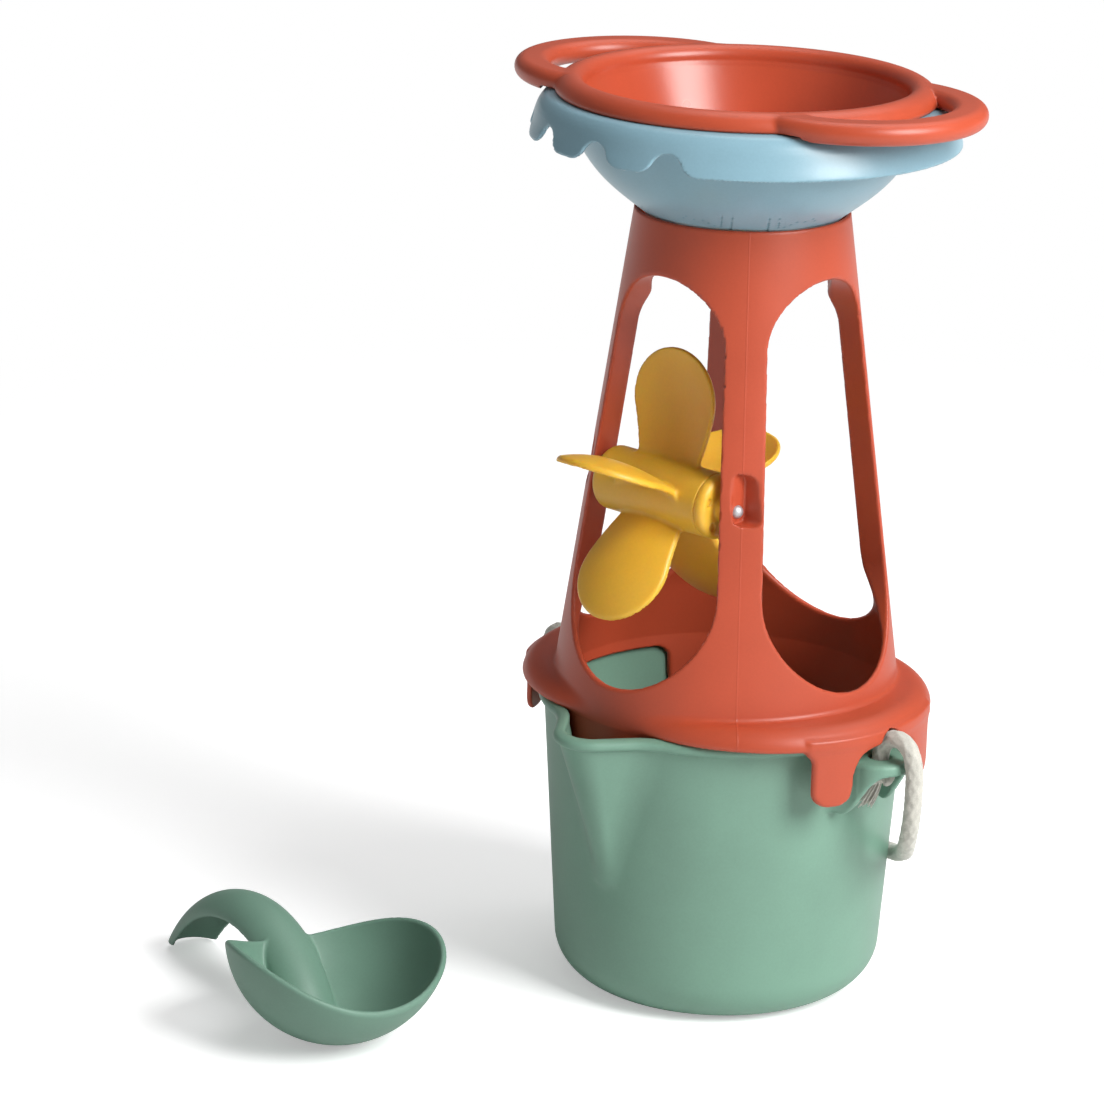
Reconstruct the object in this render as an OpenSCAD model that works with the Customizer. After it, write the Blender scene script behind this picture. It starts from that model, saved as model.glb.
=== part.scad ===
// Sand wheel toy: bucket with rope handle, mill tower with a paddle wheel, funnel, sieve and scoop.
// The origin is the centre of the bucket's base. +Z is up, -Y is the spout and wheel side,
// and the axle, the rope ears and the sieve's handles lie along X.

/* [Bucket] */
// Height of the bucket to the top of its rim
bucket_h = 132; // [115:1:150]
// Wall radius just above the rounded bottom edge
bucket_low_r = 72; // [66:0.5:74]
// Wall radius at the rim
bucket_rim_r = 79.4; // [77:0.1:84]
// Wall thickness of the bucket
bucket_wall = 2.6; // [2:0.1:3.4]
// Rounding of the bottom edge
bucket_edge_r = 18; // [10:1:26]
// How far the rolled rim stands out from the wall
rim_lip = 2.6; // [1.5:0.1:3.2]
// Height of the rolled rim
rim_lip_h = 4.6; // [3.4:0.1:6]
// How far the pouring spout reaches past the rim
spout_out = 19.6; // [12:0.2:24]
// Radius of the spout's tip
spout_tip_r = 14; // [9:0.5:18]
// Width of the spout where it leaves the rim
spout_w = 54; // [44:1:60]
// Height over which the spout fades into the wall
spout_drop = 72; // [40:1:90]
// How far each rope ear reaches past the rim
ear_out = 23.2; // [22:0.2:30]
// Width of a rope ear
ear_w = 28; // [24:0.5:29]
// Width of a rope ear where it meets the wall
ear_root_w = 40; // [34:0.5:44]
// Depth of an ear's top below the rim
ear_low = 9; // [8:0.5:14]
// Thickness of an ear's top
ear_top_t = 3.5; // [2.5:0.1:5]
// Thickness of an ear's side walls
ear_wall = 3; // [2:0.1:4]
// Depth of an ear where it meets the wall
ear_depth = 25; // [18:0.5:30]
// Depth of an ear at its tip
ear_tip_depth = 5.2; // [5:0.2:9]

/* [Rope] */
// Diameter of the cotton rope
rope_d = 7.8; // [5:0.1:8.2]
// Diameter of a rope knot
knot_d = 13.5; // [11:0.5:15]
// Length of the frayed end below a knot
knot_tail = 9; // [4:0.5:12]

/* [Tower] */
// Height of the tower above the bucket's rim
tower_h = 214.4; // [200:0.2:235]
// Radius of the tower at its top edge
tower_top_r = 46; // [43:0.5:50]
// Wall thickness of the tower
tower_wall = 2.6; // [2:0.1:3.2]
// Wall thickness at the top edge of the collar
collar_wall = 1.8; // [1.4:0.1:2.4]
// Greatest depth of the posts, measured inward
post_depth = 14; // [10:0.5:16]
// Depth of the skirt inside the bucket
skirt_h = 36; // [24:1:50]
// Gap all round between the skirt and the bucket
skirt_gap = 0.6; // [0.4:0.1:1]
// Radius of the windows' round foot
window_low_r = 40; // [36:0.5:42]
// Height of the foot circle's centre above the rim
window_low_h = 56.5; // [52:0.5:60]
// Radius of the windows' round head
window_top_r = 30; // [26:0.5:31]
// Depth of the head circle's centre below the top edge
window_top_low = 52.9; // [49:0.1:64]
// Radius of each of the brim's two discs
brim_r = 74.6; // [72:0.2:76]
// Distance of each disc's centre from the tower's axis
brim_shift = 20; // [16:0.5:21]
// Thickness of the brim
brim_h = 9.4; // [7:0.2:12]
// Thickness of the hanging drips
drip_t = 2.8; // [2:0.1:3.4]
// Width of one drip
drip_w = 17; // [13:0.5:18]
// Length of a drip below the rim
drip_l = 25; // [22:0.5:30]
// Radius of the scallop over each ear
scallop_r = 21; // [19:0.5:22]
// Width of the opening in the skirt beside each ear
skirt_port_w = 70; // [40:1:80]
// Height of the opening in the skirt
skirt_port_h = 22; // [12:1:24]
// Corner radius of the opening in the skirt
skirt_port_r = 6; // [3:0.5:6]

/* [Axle and wheel] */
// Diameter of the steel axle pin
axle_d = 6; // [4:0.1:7]
// Distance of the axle from the tower's axis
axle_out = 42.2; // [41:0.1:43.5]
// Height of the axle above the rim
axle_h = 97; // [90:0.5:104]
// Radial running clearance of the wheel on the pin
axle_play = 0.08; // [0.03:0.01:0.1]
// Width of the pocket round the axle's end
pocket_w = 8.8; // [8:0.1:10]
// Height of the pocket
pocket_h = 21.8; // [14:0.2:30]
// Wall left between the pocket and the window
pocket_web = 1.6; // [1.2:0.1:2]
// Wall left behind the pocket, which holds the pin
pocket_wall = 3.6; // [2.5:0.1:4.5]
// How far the pin stands out of the pocket's floor
axle_end = 2.4; // [1:0.1:3]
// Radius of the wheel at the paddles' tips
wheel_r = 62.5; // [55:0.5:66]
// Diameter of the wheel's hub
hub_d = 28; // [22:0.5:32]
// Length of the wheel's hub
hub_l = 64; // [56:0.5:67]
// Rounding of the hub's ends
hub_edge_r = 3; // [1:0.5:4]
// Number of paddles
paddle_n = 5; // [4:1:6]
// Width of a paddle at its widest
paddle_w = 45; // [36:0.5:48]
// Width of a paddle at the hub
paddle_root_w = 31; // [24:0.5:34]
// Thickness of a paddle
paddle_t = 2.6; // [1.8:0.1:3.4]
// Depth of a paddle's cup
paddle_cup = 5.2; // [2:0.2:6]
// Angle of the first paddle above the outward direction
paddle_turn = 22; // [0:1:71]

/* [Funnel] */
// Height of the funnel's bowl above the tower's top
funnel_h = 48.4; // [42:0.2:56]
// Radius of the bowl's mouth
funnel_r = 79; // [76:0.5:82]
// Wall thickness of the bowl, measured level
funnel_wall = 3; // [2.2:0.1:3.6]
// Width of the flat rim outside the bowl's mouth
funnel_rim_w = 3; // [2:0.1:4]
// How far the skirt flares past the rim
funnel_flare = 10.1; // [6:0.1:14]
// Depth of the skirt
funnel_skirt_h = 17.7; // [13:0.1:22]
// Thickness of the skirt
funnel_skirt_t = 2.6; // [2:0.1:3.2]
// Depth of the wavy notches between the skirt's drips
notch_d = 8.4; // [5:0.2:10]
// Width of a notch at the skirt's lower edge
notch_w = 27; // [20:0.5:30]
// Number of notches
notch_n = 8; // [3:1:12]
// Angle from one notch to the next
notch_pitch = 22.5; // [20:0.5:26]
// Angle of the first notch from the spout side
notch_first = 20.5; // [0:0.5:40]
// Radius of the outlet's bore
outlet_r = 8; // [5:0.5:12]
// Length of the outlet's tube
outlet_l = 8; // [5:0.5:14]

/* [Sieve] */
// How far the sieve's rim lies inside the funnel's rim
sieve_inset = 1; // [0.6:0.1:3]
// Width of the sieve's rolled rim
sieve_rim_w = 12.4; // [11:0.1:12.5]
// Height of the sieve's rolled rim
sieve_rim_h = 7.6; // [7.5:0.1:10]
// Rounding of the rim's inner edge
sieve_crest_r = 5; // [4.9:0.1:5.6]
// Depth of the pan below the rim
sieve_depth = 31; // [24:0.5:34]
// Wall thickness of the pan
sieve_wall = 2.4; // [1.8:0.1:3]
// Inner radius of the pan's floor
sieve_floor_r = 54; // [48:0.5:56]
// Radius of the holes in the floor
sieve_hole_r = 2.4; // [1.5:0.1:3]
// Rings of holes round the middle one
sieve_rings = 4; // [3:1:5]
// Radius of a handle's bar along its middle
handle_r = 47; // [44:0.2:54]
// Distance of a handle's centre from the axis
handle_shift = 58; // [54:0.5:62]
// Width of a handle's bar
handle_w = 15.4; // [11:0.2:17]
// Height of a handle's bar
handle_h = 9.4; // [7:0.1:10]
// Turn of the sieve about its axis
sieve_turn = 2.4; // [-45:0.2:45]

/* [Scoop] */
// Radius of the scoop's round bowl
scoop_r = 47.8; // [45:0.2:50]
// Wall thickness of the scoop
scoop_wall = 2.8; // [2.2:0.1:3.4]
// Radius of the curve that shapes the rim, seen from the side
scoop_rim_r = 61; // [56:0.5:66]
// Depth of the rim's highest place below the bowl's centre
scoop_rim_low = 3; // [1:0.2:6]
// Height of the handle's crest
tongue_h = 40.6; // [39:0.2:44]
// Distance of the crest behind the bowl's centre
tongue_x = 66.5; // [62:0.5:70]
// Bend radius of the handle along its crest line
tongue_r = 67.2; // [63:0.2:71]
// Width of the handle
tongue_w = 28; // [24:0.5:30]
// Width of the handle at its tip
tongue_tip_w = 20; // [12:0.5:22]
// Place of the scoop beside the bucket along X
scoop_x = -59.4; // [-80:0.2:-40]
// Place of the scoop in front of the bucket along Y
scoop_y = -175.2; // [-200:0.2:-165]
// Heading of the scoop seen from above
scoop_yaw = -12.4; // [-20:0.2:20]
// Lean of the scoop about its length
scoop_roll = -4.7; // [-10:0.1:0]

/* [Hidden] */
$fn = 96;
// Overrun of every cut
over = 1;
// Gap between curved faces of pieces that lift apart
lift_gap = 0.3;

sage = [0.43, 0.60, 0.52];
terracotta = [0.77, 0.36, 0.26];
mustard = [0.88, 0.68, 0.24];
pale_blue = [0.56, 0.73, 0.80];
cotton = [0.93, 0.92, 0.88];
steel = [0.74, 0.74, 0.76];

// Bucket: wall radius at a height
function wall_r(z) = bucket_low_r
    + (bucket_rim_r - bucket_low_r) * (z - bucket_edge_r) / (bucket_h - bucket_edge_r);

// Spout: circles whose hull gives its plan, and where its foot comes out of the wall
spout_flank_r = 5;
spout_sink = 0.4;
spout_tip_y = bucket_rim_r + spout_out - spout_tip_r;
spout_flank_x = spout_w / 2 - spout_flank_r;
spout_flank_y = sqrt(pow(bucket_rim_r - spout_flank_r, 2) - pow(spout_flank_x, 2));
spout_foot_z = bucket_h - spout_drop;
spout_foot_y = wall_r(spout_foot_z) - spout_flank_r - spout_sink;

// Ears: top height, centre of the round tip, the neck where the sides turn straight, and the lower edge,
// which rises in an S from its level foot to its level tip
ear_z = bucket_h - ear_low;
ear_tip_x = bucket_rim_r + ear_out;
ear_mid_x = ear_tip_x - ear_w / 2;
ear_neck_x = bucket_rim_r + rim_lip;
ear_foot_x = wall_r(ear_z - ear_depth);
ear_foot_flat = 2.8;
ear_tip_flat = 2.6;
ear_edge_steps = 10;
function ear_edge(u) = [
    ear_foot_x + ear_foot_flat + (ear_tip_x - ear_tip_flat - ear_foot_x - ear_foot_flat) * u,
    ear_z - ear_depth + (ear_depth - ear_tip_depth) * (1 - cos(180 * u)) / 2];

// Rope: half of the route in hand-chosen points, from the right knot to the middle of the back
rope_half = [
    [89, 0, 112], [89, 0, 123], [91.5, 0, 130], [98, 0, 133], [104.3, 0, 130.2], [107.2, 0.5, 122],
    [107.4, 0.8, 110], [105.5, 2.5, 98], [100, 7.7, 86], [89.5, 19.5, 75], [76, 35.5, 66.5],
    [58, 54.5, 55.5], [45, 65.3, 50], [31, 73, 46], [16, 78, 43.5]];
rope_middle = [0, 79.6, 42.5];
rope_route = concat(
    rope_half,
    [rope_middle],
    [for (i = [len(rope_half) - 1 : -1 : 0]) [-rope_half[i][0], rope_half[i][1], rope_half[i][2]]]);
rope_sides = 10;
rope_fit = 0.8;
rope_x = rope_half[0][0];
rope_hole_r = rope_d / 2 + rope_fit;
knot_z = ear_z - ear_top_t - lift_gap - sqrt(pow(knot_d / 2, 2) - pow(rope_hole_r, 2));
tail_lean = 24;

// Tower: radii at a height above the rim, and the inner steps of its wall
foot_r = bucket_rim_r - bucket_wall - skirt_gap;
skirt_low_r = wall_r(bucket_h - skirt_h) - bucket_wall - skirt_gap;
function tower_r(h) = foot_r + (tower_top_r - foot_r) * h / tower_h;
post_foot_share = 0.7;
post_low_share = 0.3;
post_top_share = 0.62;
collar_share = 0.32;
window_top_h = tower_h - window_top_low;
post_foot_h = window_low_h - post_foot_share * window_low_r;
post_low_h = window_low_h + post_low_share * window_low_r;
post_top_h = window_top_h + post_top_share * window_top_r;
collar_h = window_top_h + window_top_r + collar_share * window_top_r;

// Windows: slope of the straight sides, drawn in a little to cross the circles, and half width at a height
window_ease = 0.1;
window_lean = asin((window_low_r - window_top_r) / (window_top_h - window_low_h));
function window_half(h) =
    (window_low_r - window_ease - (h - window_low_h) * sin(window_lean)) / cos(window_lean);

// Drips and scallop of the brim
drip_end_share = 0.42;
drip_end_r = drip_end_share * drip_w;
drip_blend = 0.5;
drip_mid = scallop_r - drip_blend + drip_w / 2;
scallop_low = 17.5;
rope_notch_r = rope_d / 2 + 2 * rope_fit;
rope_notch_low = 1;
skirt_port_low = 5.5;

// Axle pocket and pin
pocket_foot = 5.2;
pocket_corner_r = 3;
pocket_y = window_half(axle_h) + pocket_web + pocket_w / 2;
pocket_floor_x = window_half(axle_h) + pocket_wall;
axle_half = pocket_floor_x + axle_end;

// Wheel: thrust bosses that run against the posts, the hub's groove and marks, the paddle's outline
boss_r = 6;
boss_half = window_half(axle_h + boss_r) - lift_gap;
hub_groove_in = 5;
hub_groove_w = 0.8;
hub_groove_d = 0.5;
hub_mark_r = 1.7;
hub_mark_d = 1;
hub_mark_share = 0.68;
paddle_mid = wheel_r - paddle_w / 2;
paddle_in_share = 0.6;
paddle_in = paddle_in_share * hub_d / 2;
paddle_bend_r = (pow(paddle_w / 2, 2) + pow(paddle_cup, 2)) / (2 * paddle_cup);
paddle_root_rise = paddle_bend_r - sqrt(pow(paddle_bend_r, 2) - pow(paddle_root_w / 2, 2));
paddle_sweep_r = pow(paddle_mid - hub_d / 2, 2) / (2 * (paddle_cup - paddle_root_rise));
paddle_side = acos(paddle_w / 2 / norm([paddle_root_w / 2, paddle_mid - paddle_in]))
    - atan2(paddle_mid - paddle_in, paddle_root_w / 2);

// Funnel: bowl outline from its seat in the collar to its mouth, and the skirt's outline
funnel_z = bucket_h + tower_h;
funnel_seat_r = tower_top_r - collar_wall - lift_gap;
bowl_steps = 10;
bowl_straight_share = 0.55;
bowl_power = 4;
function bowl_r(s) = funnel_seat_r + (funnel_r - funnel_seat_r) * s;
function bowl_z(s) = funnel_h * (bowl_straight_share * s + (1 - bowl_straight_share) * pow(s, bowl_power));
skirt_shares = [[0, 0], [0.3, 0.07], [0.59, 0.29], [0.81, 0.66], [1, 1]];
skirt_edge_r = funnel_r + funnel_rim_w;
function skirt_point(i, inset) =
    [skirt_edge_r + funnel_flare * skirt_shares[i][0] - inset,
     funnel_h - funnel_skirt_h * skirt_shares[i][1]];
outlet_wall = 3;
cone_h = funnel_seat_r - outlet_r - outlet_wall;
notch_in = 0.5;
notch_steps = 8;
notch_ease = 0.2;
notch_head_share = 0.45;
notch_arcs = (pow(notch_w / 2, 2) + pow(notch_d + notch_ease, 2)) / (2 * (notch_d + notch_ease));
notch_head_r = notch_head_share * notch_arcs;
notch_foot_r = notch_arcs - notch_head_r;
function notch_wave(i) = let (x = notch_w / 2 * abs(i) / notch_steps)
    x < notch_head_share * notch_w / 2
        ? notch_d - notch_head_r + sqrt(pow(notch_head_r, 2) - pow(x, 2))
        : notch_foot_r - notch_ease - sqrt(pow(notch_foot_r, 2) - pow(notch_w / 2 - x, 2));

// Sieve
sieve_z = funnel_z + funnel_h;
sieve_rim_r = skirt_edge_r - sieve_inset;
sieve_in_r = sieve_rim_r - sieve_rim_w;
sieve_margin = 4;
sieve_pitch = (sieve_floor_r - sieve_margin) / sieve_rings;
handle_up = 2.6;
handle_relief = 5;

// Scoop: shift of the rim's curve, the handle's sweep and bow, and its plan in shares of its length
scoop_rim_back = 2.1;
tongue_from = 14;
tongue_turn = 150;
tongue_bow_r = tongue_w / 2 + 0.5 * over;
tongue_sag = tongue_bow_r - sqrt(pow(tongue_bow_r, 2) - pow(tongue_w / 2, 2));
tongue_steps = 16;
tongue_end_share = 0.8;
tongue_tip_x = -tongue_x - tongue_r;
tongue_foot_x = scoop_r / 4;
tip_lift = 1.2;
scoop_clip_share = 0.8;

// Round-cornered plate, centred
module round_plate(w, h, r) {
    square([w - 2 * r, h], center = true);
    square([w, h - 2 * r], center = true);
    for (sx = [-1, 1], sy = [-1, 1])
        translate([sx * (w / 2 - r), sy * (h / 2 - r)])
            circle(r);
}

// Copies a shape to both ends of the X axis
module both_sides() {
    children();
    mirror([1, 0, 0])
        children();
}

// Pail outline, drawn in by inset, on a floor at floor_z, up to top_z
module pail_outline(inset, floor_z, top_z) {
    edge = bucket_edge_r - inset;
    mid = bucket_low_r - bucket_edge_r;
    polygon([
        [0, floor_z], [mid, floor_z], [bucket_low_r - inset, bucket_edge_r],
        [bucket_rim_r - inset, bucket_h], [bucket_rim_r - inset, top_z], [0, top_z]]);
    translate([mid, bucket_edge_r])
        circle(edge);
}

// Spout body from its foot on the wall to its top, grown by grow
module spout_body(grow, top_z) {
    top_t = top_z - bucket_h + rim_lip_h;
    hull() {
        translate([0, -spout_foot_y, spout_foot_z])
            cylinder(r = spout_flank_r + grow, h = over, $fn = 32);
        translate([0, 0, bucket_h - rim_lip_h])
            spout_plan(grow, top_t);
    }
}

// Discs that give the spout's plan
module spout_plan(grow, t) {
    translate([0, -spout_tip_y, 0])
        cylinder(r = spout_tip_r + grow, h = t, $fn = 48);
    for (s = [-1, 1])
        translate([s * spout_flank_x, -spout_flank_y, 0])
            cylinder(r = spout_flank_r + grow, h = t, $fn = 32);
}

// Ear plan, drawn in by inset
module ear_plan(inset) {
    half = ear_w / 2 - inset;
    root = ear_root_w / 2 - inset;
    translate([ear_mid_x, 0])
        circle(half);
    polygon([
        [bucket_low_r, -root], [ear_neck_x, -half], [ear_mid_x, -half],
        [ear_mid_x, half], [ear_neck_x, half], [bucket_low_r, root]]);
}

// Hooded ear on +X, open below, its lower edge rising to the tip
module ear() {
    low_z = ear_z - ear_depth;
    difference() {
        translate([0, 0, low_z])
            linear_extrude(ear_depth)
                ear_plan(0);
        translate([0, 0, low_z - over])
            linear_extrude(ear_depth - ear_top_t + over)
                ear_plan(ear_wall);
        rotate([90, 0, 0])
            linear_extrude(ear_root_w + 2 * over, center = true)
                polygon(concat(
                    [[bucket_low_r - over, low_z - over]],
                    [for (i = [0 : ear_edge_steps]) ear_edge(i / ear_edge_steps)],
                    [[ear_tip_x + over, ear_z - ear_tip_depth], [ear_tip_x + over, low_z - over]]));
    }
}

module bucket() {
    color(sage)
    difference() {
        union() {
            rotate_extrude()
                pail_outline(0, 0, bucket_h);
            rotate_extrude()
                union() {
                    translate([bucket_rim_r - bucket_wall, bucket_h - rim_lip_h])
                        square([bucket_wall + rim_lip - rim_lip_h / 2, rim_lip_h]);
                    translate([bucket_rim_r + rim_lip - rim_lip_h / 2, bucket_h - rim_lip_h / 2])
                        circle(rim_lip_h / 2);
                }
            spout_body(0, bucket_h);
            translate([0, 0, bucket_h - rim_lip_h])
                hull()
                    spout_plan(rim_lip, rim_lip_h);
            both_sides()
                ear();
        }
        rotate_extrude()
            pail_outline(bucket_wall, bucket_wall, bucket_h + over);
        spout_body(-bucket_wall, bucket_h + over);
        both_sides()
            translate([rope_x, 0, ear_z - ear_depth])
                cylinder(r = rope_hole_r, h = ear_depth + over);
    }
}

// Sweep of a round tube along points, by frames carried along the route
function unit(v) = v / norm(v);
function route_dir(p, i) = unit(p[min(i + 1, len(p) - 1)] - p[max(i - 1, 0)]);
function carry(n, t) = unit(n - (n * t) * t);
function route_normals(p, i, n, done) = i == len(p) ? done
    : let (m = carry(n, route_dir(p, i))) route_normals(p, i + 1, m, concat(done, [m]));
function tube_ring(c, t, n, r, sides) = let (b = cross(t, n))
    [for (k = [0 : sides - 1]) c + r * (cos(360 * k / sides) * n + sin(360 * k / sides) * b)];

module tube(p, d, sides, first_normal) {
    normals = route_normals(p, 0, first_normal, []);
    last = len(p) - 1;
    rings = [for (i = [0 : last]) each tube_ring(p[i], route_dir(p, i), normals[i], d / 2, sides)];
    polyhedron(
        points = concat(rings, [p[0], p[last]]),
        faces = concat(
            [for (i = [0 : last - 1], k = [0 : sides - 1])
                each let (a = i * sides + k, b = i * sides + (k + 1) % sides)
                    [[a, a + sides, b], [b, a + sides, b + sides]]],
            [for (k = [0 : sides - 1]) [len(rings), k, (k + 1) % sides]],
            [for (k = [0 : sides - 1])
                [len(rings) + 1, last * sides + (k + 1) % sides, last * sides + k]]));
}

module rope_handle() {
    color(cotton)
        tube(rope_route, rope_d, rope_sides, [0, 1, 0]);
}

// Knot with its frayed end leaning in under the ear
module knot() {
    translate([rope_x, 0, knot_z]) {
        sphere(d = knot_d);
        rotate([0, tail_lean, 0])
            translate([0, 0, -knot_d / 2 - knot_tail])
                cylinder(d1 = rope_d, d2 = rope_d + over, h = knot_tail + knot_d / 2);
    }
}

module rope_knot_right() {
    color(cotton)
        knot();
}

module rope_knot_left() {
    color(cotton)
        mirror([1, 0, 0])
            knot();
}

// Window outline: a large round foot and a smaller round head joined by straight sides
module window_outline() {
    translate([0, window_low_h])
        circle(window_low_r);
    translate([0, window_top_h])
        circle(window_top_r);
    low_r = window_low_r - window_ease;
    top_r = window_top_r - window_ease;
    low = [low_r * cos(window_lean), window_low_h + low_r * sin(window_lean)];
    top = [top_r * cos(window_lean), window_top_h + top_r * sin(window_lean)];
    polygon([low, top, [-top[0], top[1]], [-low[0], low[1]]]);
}

// One disc of the brim, with a quarter-round edge
module brim_disc() {
    rotate_extrude()
        union() {
            square([brim_r - brim_h, brim_h]);
            translate([brim_r - brim_h, 0])
                intersection() {
                    circle(brim_h);
                    square(brim_h);
                }
        }
}

// Outline of one hanging drip, its top at zero
module drip_outline() {
    translate([-drip_w / 2, drip_end_r - drip_l])
        square([drip_w, drip_l - drip_end_r + over]);
    translate([drip_end_r - drip_w / 2, -drip_l])
        square([drip_w - 2 * drip_end_r, drip_end_r]);
    for (s = [-1, 1])
        translate([s * (drip_w / 2 - drip_end_r), drip_end_r - drip_l])
            circle(drip_end_r);
}

// Two drips with the scalloped curtain between them, seen along X
module curtain_outline() {
    for (s = [-1, 1])
        translate([s * drip_mid, 0])
            drip_outline();
    difference() {
        translate([-drip_mid, -scallop_low])
            square([2 * drip_mid, scallop_low + over]);
        translate([0, -scallop_low])
            circle(scallop_r);
    }
}

module curtain() {
    intersection() {
        translate([brim_shift, 0, 0])
            rotate_extrude()
                translate([brim_r - drip_t, -drip_l - over])
                    square([drip_t, drip_l + 2 * over]);
        rotate([90, 0, 90])
            linear_extrude(brim_shift + brim_r + over)
                curtain_outline();
    }
}

// Pocket round the axle's end, seen along X
module pocket_outline() {
    low = axle_h - pocket_foot;
    r = pocket_corner_r;
    translate([-pocket_w / 2, low + r])
        square([pocket_w, pocket_h - r - pocket_w / 2]);
    translate([r - pocket_w / 2, low])
        square([pocket_w - 2 * r, r]);
    for (s = [-1, 1])
        translate([s * (pocket_w / 2 - r), low + r])
            circle(r);
    translate([0, low + pocket_h - pocket_w / 2])
        circle(pocket_w / 2);
}

// Inside of the tower: thin collar, deep posts and thin foot
module tower_inside() {
    rotate_extrude()
        polygon([
            [0, -skirt_h - over], [skirt_low_r - tower_wall, -skirt_h - over],
            [skirt_low_r - tower_wall, -skirt_h], [foot_r - tower_wall, 0],
            [tower_r(post_foot_h) - tower_wall, post_foot_h],
            [tower_r(post_low_h) - post_depth, post_low_h],
            [tower_r(post_top_h) - post_depth, post_top_h],
            [tower_r(collar_h) - tower_wall, collar_h],
            [tower_top_r - collar_wall, tower_h], [tower_top_r - collar_wall, tower_h + over],
            [0, tower_h + over]]);
}

module mill_tower() {
    color(terracotta)
    translate([0, 0, bucket_h])
    difference() {
        union() {
            rotate_extrude()
                polygon([
                    [0, -skirt_h], [skirt_low_r, -skirt_h], [foot_r, 0],
                    [tower_top_r, tower_h], [0, tower_h]]);
            for (s = [-1, 1])
                translate([s * brim_shift, 0, 0])
                    brim_disc();
            both_sides()
                curtain();
        }
        tower_inside();
        for (a = [0, 90])
            rotate([90, 0, a])
                linear_extrude(2 * (foot_r + over), center = true)
                    window_outline();
        rotate([90, 0, 90])
            linear_extrude(2 * (foot_r + over), center = true)
                translate([0, -skirt_port_low - skirt_port_h / 2])
                    round_plate(skirt_port_w, skirt_port_h, skirt_port_r);
        both_sides() {
            translate([pocket_floor_x, -pocket_y, 0])
                rotate([90, 0, 90])
                    linear_extrude(foot_r)
                        pocket_outline();
            translate([bucket_rim_r + rim_lip + over, 0, -rope_notch_low])
                rotate([0, 90, 0])
                    cylinder(r = rope_notch_r, h = brim_r);
        }
        translate([0, -axle_out, axle_h])
            rotate([0, 90, 0])
                cylinder(d = axle_d, h = 2 * (pocket_floor_x + over), center = true);
    }
}

// Moves a shape with its axis on X to the axle
module on_axle() {
    translate([0, -axle_out, bucket_h + axle_h])
        children();
}

module axle_pin() {
    color(steel)
        on_axle()
            rotate([0, 90, 0]) {
                cylinder(d = axle_d, h = 2 * axle_half - axle_d, center = true);
                for (s = [-1, 1])
                    translate([0, 0, s * (axle_half - axle_d / 2)])
                        sphere(d = axle_d);
            }
}

// Petal outline of a paddle, reaching along -Y
module paddle_outline() {
    side = [paddle_w / 2 * cos(paddle_side), paddle_mid + paddle_w / 2 * sin(paddle_side)];
    translate([0, -paddle_mid])
        circle(paddle_w / 2);
    polygon([
        [-paddle_root_w / 2, -paddle_in], [-side[0], -side[1]], [0, -paddle_mid],
        [side[0], -side[1]], [paddle_root_w / 2, -paddle_in]]);
}

// Part of the petal between two distances from the axle, as a prism
module paddle_prism(from, to) {
    linear_extrude(2 * (paddle_cup + paddle_t), center = true)
        intersection() {
            paddle_outline();
            translate([-paddle_w, -to])
                square([2 * paddle_w, to - from]);
        }
}

// Section of the dish swept towards the hub: an arc strip with its crown at the sweep's radius
module paddle_strip() {
    intersection() {
        translate([paddle_sweep_r - paddle_bend_r, 0])
            difference() {
                circle(paddle_bend_r + paddle_t / 2);
                circle(paddle_bend_r - paddle_t / 2);
            }
        translate([paddle_sweep_r - 2 * paddle_cup - paddle_t, -paddle_w])
            square([2 * (paddle_cup + paddle_t), 2 * paddle_w]);
    }
}

// One cupped paddle with its rim in one plane, hollow on its underside: a round dish at its tip,
// and the same arc swept on a flatter bend towards the hub
module paddle() {
    intersection() {
        paddle_prism(paddle_mid, wheel_r + over);
        translate([0, -paddle_mid, paddle_cup - paddle_bend_r])
            difference() {
                sphere(paddle_bend_r + paddle_t / 2);
                sphere(paddle_bend_r - paddle_t / 2);
            }
    }
    intersection() {
        paddle_prism(0, paddle_mid);
        translate([0, -paddle_mid, paddle_cup - paddle_sweep_r])
            rotate([0, 90, 0])
                rotate_extrude()
                    paddle_strip();
    }
}

// Hub outline: radius across, half length up
module hub_outline() {
    difference() {
        union() {
            translate([0, -hub_l / 2])
                square([hub_d / 2 - hub_edge_r, hub_l]);
            translate([0, hub_edge_r - hub_l / 2])
                square([hub_d / 2, hub_l - 2 * hub_edge_r]);
            for (s = [-1, 1])
                translate([hub_d / 2 - hub_edge_r, s * (hub_l / 2 - hub_edge_r)])
                    circle(hub_edge_r);
        }
        translate([hub_d / 2 - hub_groove_d, hub_l / 2 - hub_groove_in])
            square([hub_groove_d + over, hub_groove_w]);
    }
}

module sand_wheel() {
    color(mustard)
    on_axle()
    difference() {
        union() {
            rotate([0, 90, 0]) {
                rotate_extrude()
                    hub_outline();
                cylinder(r = boss_r, h = 2 * boss_half, center = true);
            }
            for (i = [0 : paddle_n - 1])
                rotate([-paddle_turn - 360 * i / paddle_n, 0, 0])
                    paddle();
        }
        rotate([0, 90, 0]) {
            cylinder(r = axle_d / 2 + axle_play, h = 2 * (boss_half + over), center = true);
            for (i = [0 : paddle_n - 1])
                rotate([0, 0, 360 * i / paddle_n])
                    translate([hub_mark_share * hub_d / 2, 0, hub_l / 2 - hub_mark_d])
                        cylinder(r = hub_mark_r, h = hub_mark_d + over);
        }
    }
}

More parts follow.
